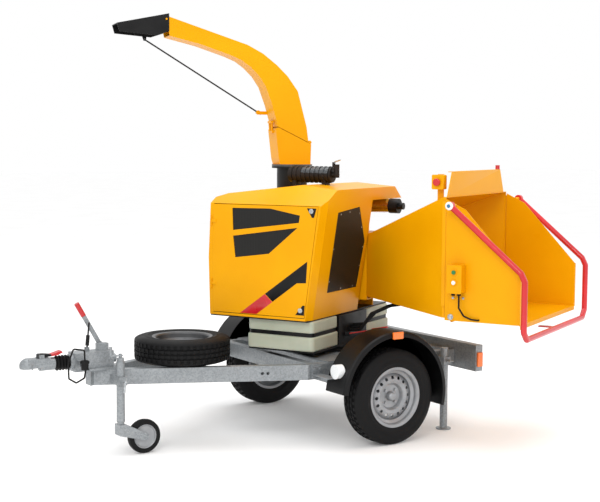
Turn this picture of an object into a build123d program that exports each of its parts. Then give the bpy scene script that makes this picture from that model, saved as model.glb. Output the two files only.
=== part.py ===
from build123d import *
import math
import os

os.makedirs("parts", exist_ok=True)

# Towed wood chipper on a single-axle braked trailer.  Millimetres, +Z up, +X to the rear.
# The trailer is drawn about the ground point under the axle.  The slewing chipper is drawn in
# its own u, v, z axes about the slew centre, then turned by SLEW_REST.  At the end everything
# is moved so that the origin is the middle of the outline at ground level.

# ---------------------------------------------------------------- driving sizes
RUN = 0.3                 # running gap between moving faces
SHAFT_GAP = 0.05          # radial gap of shafts in their bores
WHEEL_R = 289.0           # road tyre 155/80 R13
TYRE_W = 155.0
BEAD_R = 165.0            # tyre bead on the rim seat
RIM_FLANGE_R = 182.5
TRACK = 1410.0            # between the middles of the two road tyres
BEAM_H = 90.0             # box-section beams of the chassis
BEAM_W = 50.0
CHASSIS_TOP = 493.0
SIDE_Y = 540.0            # outer face of the side members
FRAME_FRONT_X = -450.0
FRAME_REAR_X = 650.0
DRAWBAR_TIP_X = -1640.0
DRAWBAR_ANGLE = 24.1      # each drawbar beam to the centre line, degrees
BALL_X = -2010.0          # towing ball
BALL_R = 25.0
COUPLING_Z = 548.0
SHAFT_R = 25.0            # overrun shaft
LEVER_X = -1545.0         # handbrake pivot
LEVER_Z = 625.0
JOCKEY_X = -1507.0
JOCKEY_Y = -155.0
JOCKEY_R = 100.0
JOCKEY_TRAIL = 146.0      # jockey axle behind its tube
JOCKEY_TUBE_R = 24.0
PROP_X = 528.0
PROP_Y = -590.0
PROP_R = 24.0
SPARE_X = -1027.0         # spare wheel lying on the drawbar
GUARD_R = 385.0           # outer radius of the mudguards and their centre
GUARD_X = -12.0
GUARD_Z = 305.0
GUARD_IN = 612.0          # inner and outer edges of a mudguard across the trailer
GUARD_OUT = 806.0
SLEW_REST = -62.0         # slew angle of the hopper centre line from straight back
RING_R = 290.0
DECK_Z = 737.0            # top of the machine deck
HOOD_NEAR = -580.0
HOOD_FAR = 545.0
HOOD_LEFT = -505.0
HOOD_FRONT = 202.0        # foot of the leaning front face
HOOD_LEAN = 0.149         # how far the front face leans out per millimetre of height
CORNER_U = 20.0           # facet between the door side and the front face
CORNER_V = 60.0
DOOR_GAP = 4.0            # shadow gap round the hood door
DOOR_HINGE_U = -484.0     # hinge line of the door, just outside the hood's side
DOOR_HINGE_V = HOOD_NEAR - 4.3
SHEET = 4.0               # wall thickness of hood, hopper and spout
LINE_V = 226.0            # centre line of hopper and feed
MOUTH_U = 1432.0
HOPPER_HALF = 520.0
FOLD_U = 958.0
FOLD_PIVOT = (976.0, 757.0)
BAR_R = 17.5
BAR_PIVOT = (1020.0, 1447.0)
BAR_REACH = 45.0          # bar in front of the hopper mouth
BAR_HALF = 594.0          # half its width
FEED_WIDTH = 230.0        # clear width between the feed box walls
TOWER_U = -325.0
TOWER_V = 155.0
CHUTE_HEADING = 164.9     # direction of the spout seen from above, degrees
FLANGE_Z = 1650.0         # flange where the spout turns
CHUTE_HALF = 88.0         # half the width of the spout

nodes = {}


def solids_of(shape):
    found = list(shape.solids())
    return found[0] if len(found) == 1 else Compound(children=found)


def keep(name, shape):
    nodes[name] = solids_of(shape)


def weld(name, shape):
    nodes[name] = solids_of(nodes[name] + shape)


def beside(name, shape):
    nodes[name] = Compound(children=list(nodes[name].solids()) + list(shape.solids()))


def both_sides(shape):
    # a shape and its mirror image across the centre line of the trailer
    return [shape, mirror(shape, about=Plane.XZ)]


def bx(x0, x1, y0, y1, z0, z1):
    # a box between two x, two y and two z values
    box = Box(x1 - x0, y1 - y0, z1 - z0)
    return Pos((x0 + x1) / 2, (y0 + y1) / 2, (z0 + z1) / 2) * box


def cz(x, y, r, z0, z1):
    # a cylinder along z; cy and cx are the same along y and x
    return Pos(x, y, (z0 + z1) / 2) * Cylinder(r, z1 - z0)


def cy(x, z, r, y0, y1):
    return Pos(x, (y0 + y1) / 2, z) * Rot(90, 0, 0) * Cylinder(r, y1 - y0)


def cx(y, z, r, x0, x1):
    return Pos((x0 + x1) / 2, y, z) * Rot(0, 90, 0) * Cylinder(r, x1 - x0)


def slab_xz(points, y0, y1):
    # an outline of (x, z) points made solid from y0 to y1
    face = make_face(Polyline(*[(x, y0, z) for x, z in points], close=True))
    return extrude(face, amount=y1 - y0, dir=(0, 1, 0))


def slab_yz(points, x0, x1):
    face = make_face(Polyline(*[(x0, y, z) for y, z in points], close=True))
    return extrude(face, amount=x1 - x0, dir=(1, 0, 0))


def lathe_y(profile):
    # profile of (radius, y) points turned about the Y axis
    face = make_face(Polyline(*[(r, y, 0) for r, y in profile], close=True))
    return revolve(face, Axis.Y, 360)


def rod(a, b, r):
    start = Vector(*a)
    end = Vector(*b)
    line = end - start
    plane = Plane(origin=start, z_dir=line)
    return extrude(plane * Circle(r), amount=line.length)


def bent_rod(points, radius, r):
    path = FilletPolyline(*points, radius=radius)
    section = Plane(origin=path @ 0, z_dir=path % 0) * Circle(r)
    return sweep(section, path)


def between(a, b, share):
    # the point that lies a share of the way from a to b
    return tuple(p + (q - p) * share for p, q in zip(a, b))


def union(items):
    total = items[0]
    for item in items[1:]:
        total = total + item
    return total


def group(items):
    return Compound(children=list(items))


# ---------------------------------------------------------------- road wheels
HALF = TYRE_W / 2
GROOVE = 7.0              # depth of the tread grooves
GROOVE_FLOOR = WHEEL_R - GROOVE
half_outside = [
    (GROOVE_FLOOR, 3), (WHEEL_R, 4), (WHEEL_R, 23), (GROOVE_FLOOR, 24), (GROOVE_FLOOR, 30),
    (WHEEL_R, 31), (WHEEL_R, 42), (WHEEL_R - 2, 56), (WHEEL_R - 9, 64), (252, HALF - 2),
    (215, HALF), (192, 73), (RIM_FLANGE_R, 69), (172, 66), (169, 62), (BEAD_R, 62), (BEAD_R, 46),
]
half_inside = [(180, 50), (215, 66), (250, 66), (268, 52)]
tyre_profile = [(r, -y) for r, y in reversed(half_outside)] + half_outside + half_inside
tyre_profile = tyre_profile + [(272, 0)] + [(r, -y) for r, y in reversed(half_inside)]
tyre_profile = tyre_profile + [(BEAD_R, -46)]
rim_profile = [
    (RIM_FLANGE_R, -72), (RIM_FLANGE_R, -69), (172, -66), (169, -62), (BEAD_R, -62),
    (BEAD_R, -46), (BEAD_R, -40), (146, -32), (146, 20), (BEAD_R, 34), (BEAD_R, 62),
    (169, 62), (172, 66), (RIM_FLANGE_R, 69), (RIM_FLANGE_R, 72), (166, 68), (161, 60),
    (161, 36), (142, 23), (142, -35), (161, -43), (161, -60), (166, -68),
]
# pressed wheel disc: outer face toward -Y, mounting face on the hub at y = -14
disc_profile = [
    (29, -18), (70, -18), (82, -40), (100, -46), (122, -40), (142.5, -22), (142.5, -14),
    (124, -34), (100, -41), (86, -35), (74, -13), (29, -13),
]

VENTS = 16                # round holes near the edge of the wheel disc
VENT_R = 10.0
VENT_CIRCLE = 116.0
BOLT_ANGLES = (45, 135, 225, 315)
BOLT_CIRCLE = 50.0
BOLT_R = 6.5


def road_rim():
    rim = lathe_y(rim_profile) + lathe_y(disc_profile)
    for index in range(VENTS):
        angle = 360 * index / VENTS
        rim = rim - Rot(0, angle, 0) * cy(VENT_CIRCLE, 0, VENT_R, -60, 0)
    for angle in BOLT_ANGLES:
        rim = rim - Rot(0, angle, 0) * cy(BOLT_CIRCLE, 0, BOLT_R + 0.5, -30, 0)
    return rim


def road_tyre():
    return lathe_y(tyre_profile)


# hub and brake drum, bored for the stub axle, with four wheel bolts and a grease cap
STUB_R = 17.5
RIM_BACK = -13.0


def hub_drum():
    body = lathe_y([(STUB_R + SHAFT_GAP, -30), (28, -30), (28, RIM_BACK), (68, RIM_BACK),
                    (68, 0), (112, 8), (112, 60), (104, 60), (104, 14), (40, 14), (40, 40),
                    (STUB_R + SHAFT_GAP, 40)])
    cap = lathe_y([(0, -52), (20, -50), (26, -42), (28, -30), (0, -30)])
    parts = [body, cap]
    bolt = cy(BOLT_CIRCLE, 0, BOLT_R, -24, RIM_BACK) + cy(BOLT_CIRCLE, 0, BOLT_R + 3, -28, -18)
    for angle in BOLT_ANGLES:
        parts.append(Rot(0, angle, 0) * bolt)
    return union(parts)


near = Pos(0, -TRACK / 2, WHEEL_R)
far = Pos(0, TRACK / 2, WHEEL_R) * Rot(0, 0, 180)
for side, place in (("near", near), ("far", far)):
    keep("road_tyre_" + side, place * road_tyre())
    keep("road_rim_" + side, place * (road_rim() + hub_drum()))

# ---------------------------------------------------------------- axle with trailing arms
AXLE_X = -150.0
AXLE_HALF = 40.0          # half the height of the square axle tube
ARM_IN = 560.0            # inner and outer faces of a trailing arm
ARM_OUT = 590.0
AXLE_Z = CHASSIS_TOP - BEAM_H - AXLE_HALF
axle = bx(AXLE_X - AXLE_HALF, AXLE_X + AXLE_HALF, -ARM_IN, ARM_IN, AXLE_Z - AXLE_HALF, AXLE_Z + AXLE_HALF)
arm = slab_xz([(AXLE_X - 38, AXLE_Z - 30), (AXLE_X - 38, AXLE_Z + 30), (AXLE_X + 30, AXLE_Z + 32),
               (20, WHEEL_R + 34), (38, WHEEL_R), (20, WHEEL_R - 32), (-40, WHEEL_R - 30)],
              ARM_IN, ARM_OUT)
stub = cy(0, WHEEL_R, STUB_R, ARM_OUT - 10, TRACK / 2 + 28)
collar = cy(0, WHEEL_R, 32, ARM_OUT - 2, TRACK / 2 - 40 - RUN)
for side in both_sides(arm + stub + collar):
    axle = axle + side
keep("axle_tube", axle)

# ---------------------------------------------------------------- galvanised chassis
BEAM_BOT = CHASSIS_TOP - BEAM_H
CROSS_X = (-175.0, 260.0, FRAME_REAR_X - BEAM_W)
PLATE_T = 8.0             # turntable plate on the two middle cross members
HOLE_X = -720.0           # first of two holes through each drawbar beam
chassis = bx(FRAME_FRONT_X, FRAME_FRONT_X + BEAM_W, -SIDE_Y, SIDE_Y, BEAM_BOT, CHASSIS_TOP)
for x0 in CROSS_X:
    chassis = chassis + bx(x0, x0 + BEAM_W, -SIDE_Y + 10, SIDE_Y - 10, BEAM_BOT, CHASSIS_TOP)
for s in (-1, 1):
    y0 = min(s * SIDE_Y, s * (SIDE_Y - BEAM_W))
    chassis = chassis + bx(FRAME_FRONT_X, FRAME_REAR_X, y0, y0 + BEAM_W, BEAM_BOT, CHASSIS_TOP)
    run = (SIDE_Y - 26.0) / math.sin(math.radians(DRAWBAR_ANGLE)) + 60
    beam = Pos(run / 2, BEAM_W / 2, (BEAM_BOT + CHASSIS_TOP) / 2) * Box(run, BEAM_W, BEAM_H)
    beam = Pos(-1660, -8, 0) * Rot(0, 0, -DRAWBAR_ANGLE) * beam
    beam = beam & bx(DRAWBAR_TIP_X, FRAME_FRONT_X + 20, -SIDE_Y, 200, 0, 900)
    if s > 0:
        beam = mirror(beam, about=Plane.XZ)
    chassis = chassis + beam
chassis = chassis + bx(-330, 330, -SIDE_Y + 6, SIDE_Y - 6, CHASSIS_TOP, CHASSIS_TOP + PLATE_T)
for x in (HOLE_X, HOLE_X + 30):
    chassis = chassis - cy(x, (BEAM_BOT + CHASSIS_TOP) / 2, 9, -SIDE_Y - 40, SIDE_Y + 40)
keep("chassis_frame", chassis)

# ---------------------------------------------------------------- mudguards and their brackets
guard_profile = [
    (GUARD_R, -GUARD_IN), (GUARD_R, -GUARD_OUT + 14), (GUARD_R - 8, -GUARD_OUT + 3),
    (GUARD_R - 32, -GUARD_OUT), (GUARD_R - 32, -GUARD_OUT + 4), (GUARD_R - 10, -GUARD_OUT + 7),
    (GUARD_R - SHEET, -GUARD_OUT + 16), (GUARD_R - SHEET, -GUARD_IN),
]
GUARD_FROM = -15.0        # the arc that a mudguard covers, degrees
GUARD_TO = 174.0
guard_face = make_face(Polyline(*[(r, y, 0) for r, y in guard_profile], close=True))
guard_arc = revolve(guard_face, Axis.Y, GUARD_TO - GUARD_FROM)
guard_near = Pos(GUARD_X, 0, GUARD_Z) * Rot(0, -GUARD_TO, 0) * guard_arc
guard_cyl = cy(GUARD_X, GUARD_Z, GUARD_R, -900, 900)
bracket_items = []
for x0, x1 in ((-445.0, -370.0), (345.0, 412.0)):
    plate = bx(x0, x1, -700, -SIDE_Y, 428, 434)
    flange = bx(x0, x1, -SIDE_Y - 6, -SIDE_Y, 410, 485)
    bracket = (plate + flange) - guard_cyl
    for xb in (x0 + 15, x1 - 20):
        bracket = bracket + cy(xb, 462, 9, -SIDE_Y - 14, -SIDE_Y - 5)
    bracket_items.append(bracket)
marker_near = bx(-50, 25, -GUARD_OUT - 12, -GUARD_OUT, 648, 690)
reflector = Pos(-385, -715, 472) * Rot(0, 90, 0) * Cylinder(42.5, 60) - guard_cyl
reflector = reflector & bx(-402, -340, -900, 0, 300, 600)
reflector = reflector - bracket_items[0]
keep("mudguards", group(both_sides(guard_near)))
for item in bracket_items:
    for bracket in both_sides(item):
        weld("chassis_frame", bracket)
keep("front_reflectors", group(both_sides(reflector)))

# ---------------------------------------------------------------- rear light board
BOARD_T = 3.0
BOARD_DEPTH = 55.0
BOARD_HALF = 750.0
BOARD_LOW = 380.0
BOARD_HIGH = 546.0
LAMP_Y = 630.0
board = bx(FRAME_REAR_X, FRAME_REAR_X + BOARD_DEPTH, -BOARD_HALF, BOARD_HALF, BOARD_LOW, BOARD_HIGH)
board = board - bx(FRAME_REAR_X + BOARD_T, FRAME_REAR_X + BOARD_DEPTH + 5, -BOARD_HALF + BOARD_T,
                   BOARD_HALF - BOARD_T, BOARD_LOW + BOARD_T, BOARD_HIGH - BOARD_T)
keep("light_board", board)
lamp = bx(FRAME_REAR_X + BOARD_T, FRAME_REAR_X + 62, LAMP_Y - 105, LAMP_Y + 105, 400, 520)
keep("rear_lamps", group(both_sides(lamp)))
board_marker = bx(FRAME_REAR_X + 8, FRAME_REAR_X + 48, BOARD_HALF, BOARD_HALF + 14, 410, 500)
keep("side_markers", group(both_sides(marker_near) + both_sides(board_marker)))

# ---------------------------------------------------------------- overrun device and coupling
housing = bx(-1740, -1500, -52, 52, CHASSIS_TOP, 600)
housing = housing + bx(-1660, -1480, -70, 70, CHASSIS_TOP, CHASSIS_TOP + 14)
housing = housing + cx(0, COUPLING_Z, 45, -1760, -1740)
housing = housing + bx(-1580, -1515, -12, 30, 600, 640)
housing = housing - cx(0, COUPLING_Z, SHAFT_R + SHAFT_GAP, -1800, -1400)
housing = housing + cy(LEVER_X, LEVER_Z, 8, 30, 56)
keep("overrun_housing", housing)
bellows_profile = []
BELLOWS_RIBS = 8
BELLOWS_FRONT = -1850.0
BELLOWS_REAR = -1760.0
pitch = (BELLOWS_REAR - BELLOWS_FRONT) / BELLOWS_RIBS
for index in range(BELLOWS_RIBS):
    bellows_profile.append((SHAFT_R + 10, BELLOWS_FRONT + index * pitch))
    bellows_profile.append((SHAFT_R + 19, BELLOWS_FRONT + (index + 0.5) * pitch))
bellows_profile.append((SHAFT_R + 10, BELLOWS_REAR))
bellows_profile.append((SHAFT_R + 2, BELLOWS_REAR))
bellows_profile.append((SHAFT_R + 2, BELLOWS_FRONT))
bellows_face = make_face(Polyline(*[(x, r, COUPLING_Z) for r, x in bellows_profile], close=True))
bellows = revolve(bellows_face, Axis((0, 0, COUPLING_Z), (1, 0, 0)), 360)
keep("bellows", bellows)
head = Pos(BALL_X, 0, COUPLING_Z) * Sphere(42)
head = head + bx(BALL_X, -1880, -34, 34, COUPLING_Z - 14, COUPLING_Z + 38)
head = head + cx(0, COUPLING_Z, 36, -1935, BELLOWS_FRONT)
head = head + cx(0, COUPLING_Z, SHAFT_R, -1900, -1470)
head = head - Pos(BALL_X, 0, COUPLING_Z) * Sphere(BALL_R + 0.5)
head = head - bx(BALL_X - 60, BALL_X + 32, -60, 60, COUPLING_Z - 70, COUPLING_Z - 16)
head = head - cz(BALL_X, 0, BALL_R + 0.5, COUPLING_Z - 30, COUPLING_Z)
HANDLE_X = -1930.0
HANDLE_Z = COUPLING_Z + 46.0
head = head - bx(HANDLE_X - 24, HANDLE_X + 22, -19.8, 19.8, COUPLING_Z + 27, COUPLING_Z + 60)
ears = bx(HANDLE_X - 14, HANDLE_X + 14, -30, -20, COUPLING_Z + 30, HANDLE_Z + 12)
ears = ears + bx(HANDLE_X - 14, HANDLE_X + 14, 20, 30, COUPLING_Z + 30, HANDLE_Z + 12)
ears = ears + cy(HANDLE_X, HANDLE_Z, 5, -32, 32)
keep("coupling_head", head + ears)
handle = slab_xz([(HANDLE_X - 16, HANDLE_Z - 6), (HANDLE_X - 10, HANDLE_Z + 16),
                  (HANDLE_X + 20, HANDLE_Z + 16), (HANDLE_X + 60, HANDLE_Z + 10),
                  (HANDLE_X + 60, HANDLE_Z - 1)], -19.5, 19.5)
handle = handle - cy(HANDLE_X, HANDLE_Z, 5 + SHAFT_GAP, -40, 40)
grip = slab_xz([(HANDLE_X + 60, HANDLE_Z - 1), (HANDLE_X + 60, HANDLE_Z + 10),
                (HANDLE_X + 120, HANDLE_Z + 26), (HANDLE_X + 128, HANDLE_Z + 16),
                (HANDLE_X + 100, HANDLE_Z + 3)], -21, 21)
keep("coupling_handle", handle + grip)

# handbrake lever leaning forward, with its spring strut alongside
LEVER_DIR = (-0.503, 0.864)


def on_lever(along, across, y):
    x = LEVER_X + LEVER_DIR[0] * along + LEVER_DIR[1] * across
    z = LEVER_Z + LEVER_DIR[1] * along - LEVER_DIR[0] * across
    return (x, y, z)


lever = rod(on_lever(0, 0, 36), on_lever(0, 0, 44), 20)
LEVER_LENGTH = 205.0      # flat bar from the pivot to the grip
GRIP_LENGTH = 85.0
lever_plane = Plane(origin=on_lever(0, 0, 40), z_dir=(LEVER_DIR[0], 0, LEVER_DIR[1]), x_dir=(0, 1, 0))
lever = lever + extrude(lever_plane * Rectangle(8, 26), amount=LEVER_LENGTH)
lever = lever - cy(LEVER_X, LEVER_Z, 8 + SHAFT_GAP, 20, 60)
grip_bar = rod(on_lever(LEVER_LENGTH, 0, 40), on_lever(LEVER_LENGTH + GRIP_LENGTH, 0, 40), 15)
keep("handbrake_lever", lever + grip_bar)
strut_low = (-1640.0, 14.0, 612.0)
strut_top = on_lever(165, 4, 14)
strut_tip = between(strut_low, strut_top, 0.97)
strut = rod(between(strut_low, strut_top, 0.12), between(strut_low, strut_top, 0.5), 11)
strut = strut + rod(strut_low, strut_tip, 5) + cy(strut_low[0], strut_low[2], 9, 8, 20)
strut = strut - cy(strut_low[0], strut_low[2], 3 + SHAFT_GAP, 0, 30)
keep("spring_strut", strut)
lug = bx(-1652, -1628, 4, 8 - RUN, 600, 622) + bx(-1652, -1628, 20 + RUN, 24, 600, 622)
lug = lug + cy(strut_low[0], strut_low[2], 3, 4, 24)
weld("overrun_housing", lug)

# brake rod under the chassis, held by the housing and the axle
brake = rod((-1505, 0, 430), (AXLE_X - 40, 0, AXLE_Z + 20), 6)
brake = brake + bx(-1520, -1490, -8, 8, CHASSIS_TOP - 69, CHASSIS_TOP)
keep("brake_rod", brake)

# parked towing plug and its short lead, hanging under the coupling
plug_holder = bx(-1730, -1690, -86, -52, 560, 566) + bx(-1730, -1690, -90, -84, 530, 566)
weld("overrun_housing", plug_holder)
plug = cz(-1710, -118, 21, 516, 570) + cz(-1710, -118, 26, 552, 566)
plug = plug + bx(-1722, -1698, -118, -90, 536, 556)
keep("towing_plug", plug)
lead = bent_rod([(-1710, -118, 570), (-1712, -118, 628), (-1778, -116, 640), (-1806, -108, 560),
                 (-1800, -100, 470), (-1752, -92, 440), (-1700, -86, 462), (-1690, -84, 512),
                 (-1690, -52, 514)], 12, 5)
weld("towing_plug", lead)

# ---------------------------------------------------------------- jockey wheel
CLAMP_LOW = 415.0         # both tube clamps, on the drawbar and on the side member
CLAMP_HIGH = 465.0
clamp = bx(JOCKEY_X - 26, JOCKEY_X + 26, JOCKEY_Y - 34, -60, CLAMP_LOW, CLAMP_HIGH)
clamp = clamp - chassis
clamp = clamp - cz(JOCKEY_X, JOCKEY_Y, JOCKEY_TUBE_R + SHAFT_GAP, 300, 700)
keep("stand_clamps", clamp)
TOGGLE_Z = (CLAMP_LOW + CLAMP_HIGH) / 2
toggle = cy(JOCKEY_X, TOGGLE_Z, 7, JOCKEY_Y - 72, JOCKEY_Y - 34 - RUN)
toggle = toggle + rod((JOCKEY_X, JOCKEY_Y - 64, TOGGLE_Z), (JOCKEY_X - 6, JOCKEY_Y - 64, TOGGLE_Z - 62), 6)
keep("jockey_clamp_toggle", toggle)
JOCKEY_INNER_R = 20.0
JOCKEY_TUBE_TOP = 552.0
outer_tube = cz(JOCKEY_X, JOCKEY_Y, JOCKEY_TUBE_R, 200, JOCKEY_TUBE_TOP)
outer_tube = outer_tube - cz(JOCKEY_X, JOCKEY_Y, JOCKEY_INNER_R + SHAFT_GAP, 190, JOCKEY_TUBE_TOP - 32)
keep("jockey_outer_tube", outer_tube)
crank = cz(JOCKEY_X, JOCKEY_Y, 20, JOCKEY_TUBE_TOP + RUN, 572) + cz(JOCKEY_X, JOCKEY_Y, 9, 572, 596)
crank = crank + bx(JOCKEY_X - 70, JOCKEY_X + 12, JOCKEY_Y - 9, JOCKEY_Y + 9, 582, 590)
crank = crank + cz(JOCKEY_X - 60, JOCKEY_Y, 9, 590, 640)
keep("jockey_crank", crank)
WX = JOCKEY_X + JOCKEY_TRAIL
fork = cz(JOCKEY_X, JOCKEY_Y, JOCKEY_INNER_R, 150, 500)
fork = fork + bx(JOCKEY_X - 22, JOCKEY_X + 22, JOCKEY_Y - 36, JOCKEY_Y + 36, 124, 186)
for s in (-1, 1):
    y0 = JOCKEY_Y + s * 33 - 3
    arm = slab_xz([(JOCKEY_X - 22, 124), (JOCKEY_X - 22, 186), (JOCKEY_X + 22, 186), (WX + 16, 116),
                   (WX + 20, 100), (WX + 14, 84), (WX - 8, 82)], y0, y0 + 6)
    fork = fork + arm
fork = fork + cy(WX, JOCKEY_R, 8, JOCKEY_Y - 40, JOCKEY_Y + 40)
keep("jockey_fork", fork)
jockey_rim = lathe_y([(8 + SHAFT_GAP, -26), (22, -26), (22, -12), (62, -12), (66, -20), (70, -20), (66, 0),
                      (70, 20), (66, 20), (62, 12), (22, 12), (22, 26), (8 + SHAFT_GAP, 26)])
jockey_tyre = lathe_y([(70, -20), (88, -25), (JOCKEY_R - 3, -20), (JOCKEY_R, 0), (JOCKEY_R - 3, 20),
                       (88, 25), (70, 20), (66, 0)])
keep("jockey_wheel", Pos(WX, JOCKEY_Y, JOCKEY_R) * (jockey_rim + jockey_tyre))

# ---------------------------------------------------------------- spare wheel on the drawbar
DISC_Z = CHASSIS_TOP + HALF
spare_place = Pos(SPARE_X, 0, DISC_Z) * Rot(90, 0, 0)
keep("spare_tyre", spare_place * road_tyre())
keep("spare_rim", spare_place * road_rim())
carrier = bx(SPARE_X - 30, SPARE_X + 30, -250, 250, CHASSIS_TOP - 8, CHASSIS_TOP)
SPARE_DISC_TOP = DISC_Z + RIM_BACK  # back of the wheel disc, which faces up
carrier = carrier + cz(SPARE_X, 0, 12, CHASSIS_TOP - 8, SPARE_DISC_TOP + 36)
carrier = carrier + cz(SPARE_X, 0, 45, SPARE_DISC_TOP, SPARE_DISC_TOP + 10)
carrier = carrier + cz(SPARE_X, 0, 20, SPARE_DISC_TOP + 10, SPARE_DISC_TOP + 24)
weld("chassis_frame", carrier)

# ---------------------------------------------------------------- prop stand
p_clamp = bx(PROP_X - 30, PROP_X + 30, PROP_Y - 32, -SIDE_Y, CLAMP_LOW, CLAMP_HIGH)
p_clamp = p_clamp - cz(PROP_X, PROP_Y, PROP_R + SHAFT_GAP, 300, 700)
p_clamp = p_clamp + rod((PROP_X, PROP_Y - 32, 440), (PROP_X, PROP_Y - 62, 440), 7)
p_clamp = p_clamp + rod((PROP_X - 30, PROP_Y - 55, 440), (PROP_X + 30, PROP_Y - 55, 440), 5)
beside("stand_clamps", p_clamp)
PROP_FOOT_R = 48.0
keep("prop_stand", cz(PROP_X, PROP_Y, PROP_R, 6, 521) + cz(PROP_X, PROP_Y, PROP_FOOT_R, 0, 8))

# ================================================================ slewing superstructure
SLEW = Rot(0, 0, SLEW_REST)


def slew(name, shape):
    keep(name, SLEW * shape)


# slew ring: fixed lower race on the chassis, turning upper race under the base frame
RING_Z = CHASSIS_TOP + PLATE_T
RING_H = 15.0
FLOOR_Z = 533.0           # underside of the tank floor
FLOOR_T = 12.0
DECK_T = 8.0
TANK_TOP = DECK_Z - DECK_T
BAND_LOW = 633.0          # the black band between lower and upper tanks
BAND_HIGH = 657.0
lower_race = cz(0, 0, RING_R, RING_Z, RING_Z + RING_H)
keep("slew_ring", lower_race - cz(0, 0, RING_R - 50, RING_Z - 1, RING_Z + RING_H + 5))
upper_ring = cz(0, 0, RING_R - 4, RING_Z + RING_H + RUN, FLOOR_Z)
upper_ring = upper_ring - cz(0, 0, RING_R - 46, RING_Z, FLOOR_Z + 7)
base = bx(-245, 215, -520, 520, FLOOR_Z, FLOOR_Z + FLOOR_T)
base = base + bx(-245, 215, -196, 196, FLOOR_Z + FLOOR_T, TANK_TOP)
base = base + bx(-492, 195, -575, 540, TANK_TOP, DECK_Z)
base = base + upper_ring
lower_tanks = []
upper_tanks = []
for s in (-1, 1):
    v0, v1 = (197.0, 542.0) if s > 0 else (-542.0, -197.0)
    low = bx(-250, 218, v0, v1, FLOOR_Z + FLOOR_T, BAND_LOW)
    top = bx(-246, 214, v0 + 4, v1 - 4, BAND_HIGH, TANK_TOP)
    band = bx(-240, 208, v0 + 10, v1 - 10, BAND_LOW, BAND_HIGH)
    lower_tanks.append(fillet(low.edges().filter_by(Axis.Z), 30))
    upper_tanks.append(fillet(top.edges().filter_by(Axis.Z), 30))
    bridge_v0, bridge_v1 = (186.0, 237.0) if s > 0 else (-237.0, -177.0)
    bridge = bx(-200, 180, bridge_v0, bridge_v1, BAND_LOW, BAND_HIGH)
    base = base + fillet(band.edges().filter_by(Axis.Z), 26) + bridge
slew("base_frame", base)
slew("lower_tanks", group(lower_tanks))
slew("upper_tanks", group(upper_tanks))

# hood: closed cover with a leaning front face, sloping shoulders and a recess over the feed
CROWN = (60.0, 1548.0)    # highest line of the hood
BROW = (318.0, 1524.0)    # top edge of the leaning front face
SHOULDER_Z = 1431.0       # where the sloping shoulders start at each side
SHOULDER_RUN = 234.0
SHOULDER_TOP = 1575.0
RECESS_U = 60.0
RECESS_V = 84.0
RECESS_Z = 1445.0


def front_u(z):
    return HOOD_FRONT + HOOD_LEAN * (z - DECK_Z)


def hood_outline(inset, base_z):
    return [(HOOD_LEFT + 10 + inset, base_z), (HOOD_LEFT + inset, 1095), (-488 + inset, 1466 - inset),
            (-420 + inset * 0.5, 1490 - inset), (CROWN[0], CROWN[1] - inset),
            (BROW[0] - inset, BROW[1] - inset), (front_u(base_z) - inset, base_z)]


def corner_wedge(inset):
    # what the facet takes off the near front corner, leaning with the front face
    span = math.hypot(CORNER_U, CORNER_V)
    in_u = -inset * CORNER_V / span
    in_v = inset * CORNER_U / span
    ends = []
    for z in (600.0, 1700.0):
        u = front_u(z)
        corners = [(u - 2 * CORNER_U + in_u, HOOD_NEAR - CORNER_V + in_v),
                   (u + CORNER_U + in_u, HOOD_NEAR + 2 * CORNER_V + in_v),
                   (u + 3 * CORNER_U, HOOD_NEAR - CORNER_V)]
        ends.append(make_face(Polyline(*[(a, b, z) for a, b in corners], close=True)))
    return loft(ends)


def hood_body(inset, base_z):
    body = slab_xz(hood_outline(inset, base_z), HOOD_NEAR + inset, HOOD_FAR - inset)
    drop = inset * 0.3
    for v_edge, s in ((HOOD_NEAR + inset, 1), (HOOD_FAR - inset, -1)):
        wedge = slab_yz([(v_edge - s * 50, 1700), (v_edge - s * 50, SHOULDER_Z - 31 - drop),
                         (v_edge, SHOULDER_Z - drop), (v_edge + s * SHOULDER_RUN, SHOULDER_TOP - drop),
                         (v_edge + s * SHOULDER_RUN, 1700)], -700, 500)
        body = body - wedge
    recess = bx(RECESS_U - inset, 420, RECESS_V - inset, 700, 700, RECESS_Z + inset)
    return body - recess - corner_wedge(inset)


hood = hood_body(0.0, DECK_Z) - hood_body(SHEET, DECK_Z - 20)
DOOR = [(-470, 752), (-480, 1095), (-464, 1430), (270, 1430), (228, 1110), (178, 752)]
door_cut = slab_xz(DOOR, HOOD_NEAR - 5, HOOD_NEAR + 20)
hood = hood - door_cut
GRILLE = [(-380, 890), (-378, 1385), (-90, 1410), (52, 1185), (24, 890)]
hood = hood - slab_yz(GRILLE, 190, 340)
# two small hinges: outer knuckles and pin on the hood, middle knuckle and leaf on the door
KNUCKLE = 20.0
HINGE_ROWS = (900.0, 1290.0)
DOOR_PIN_R = 2.5
for z in HINGE_ROWS:
    for z0 in (z, z + 2 * KNUCKLE):
        hood = hood + cz(DOOR_HINGE_U, DOOR_HINGE_V, 5, z0, z0 + KNUCKLE)
    hood = hood + cz(DOOR_HINGE_U, DOOR_HINGE_V, DOOR_PIN_R, z, z + 3 * KNUCKLE)
CHIMNEY_R = 100.0         # round discharge stack and the flange on it
FLANGE_R = 134.0
FLANGE_T = 12.0
hood = hood - cz(TOWER_U, TOWER_V, CHIMNEY_R + 6, 1300, 1700)
hood = hood - bx(20, 100, LINE_V - 142, LINE_V + 175, 700, 1300)
slew("hood_shell", hood)


def inset_poly(points, d):
    cu = sum(p[0] for p in points) / len(points)
    cw = sum(p[1] for p in points) / len(points)
    out = []
    for u, w in points:
        length = math.hypot(u - cu, w - cw)
        out.append((u - (u - cu) * d / length, w - (w - cw) * d / length))
    return out


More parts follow.
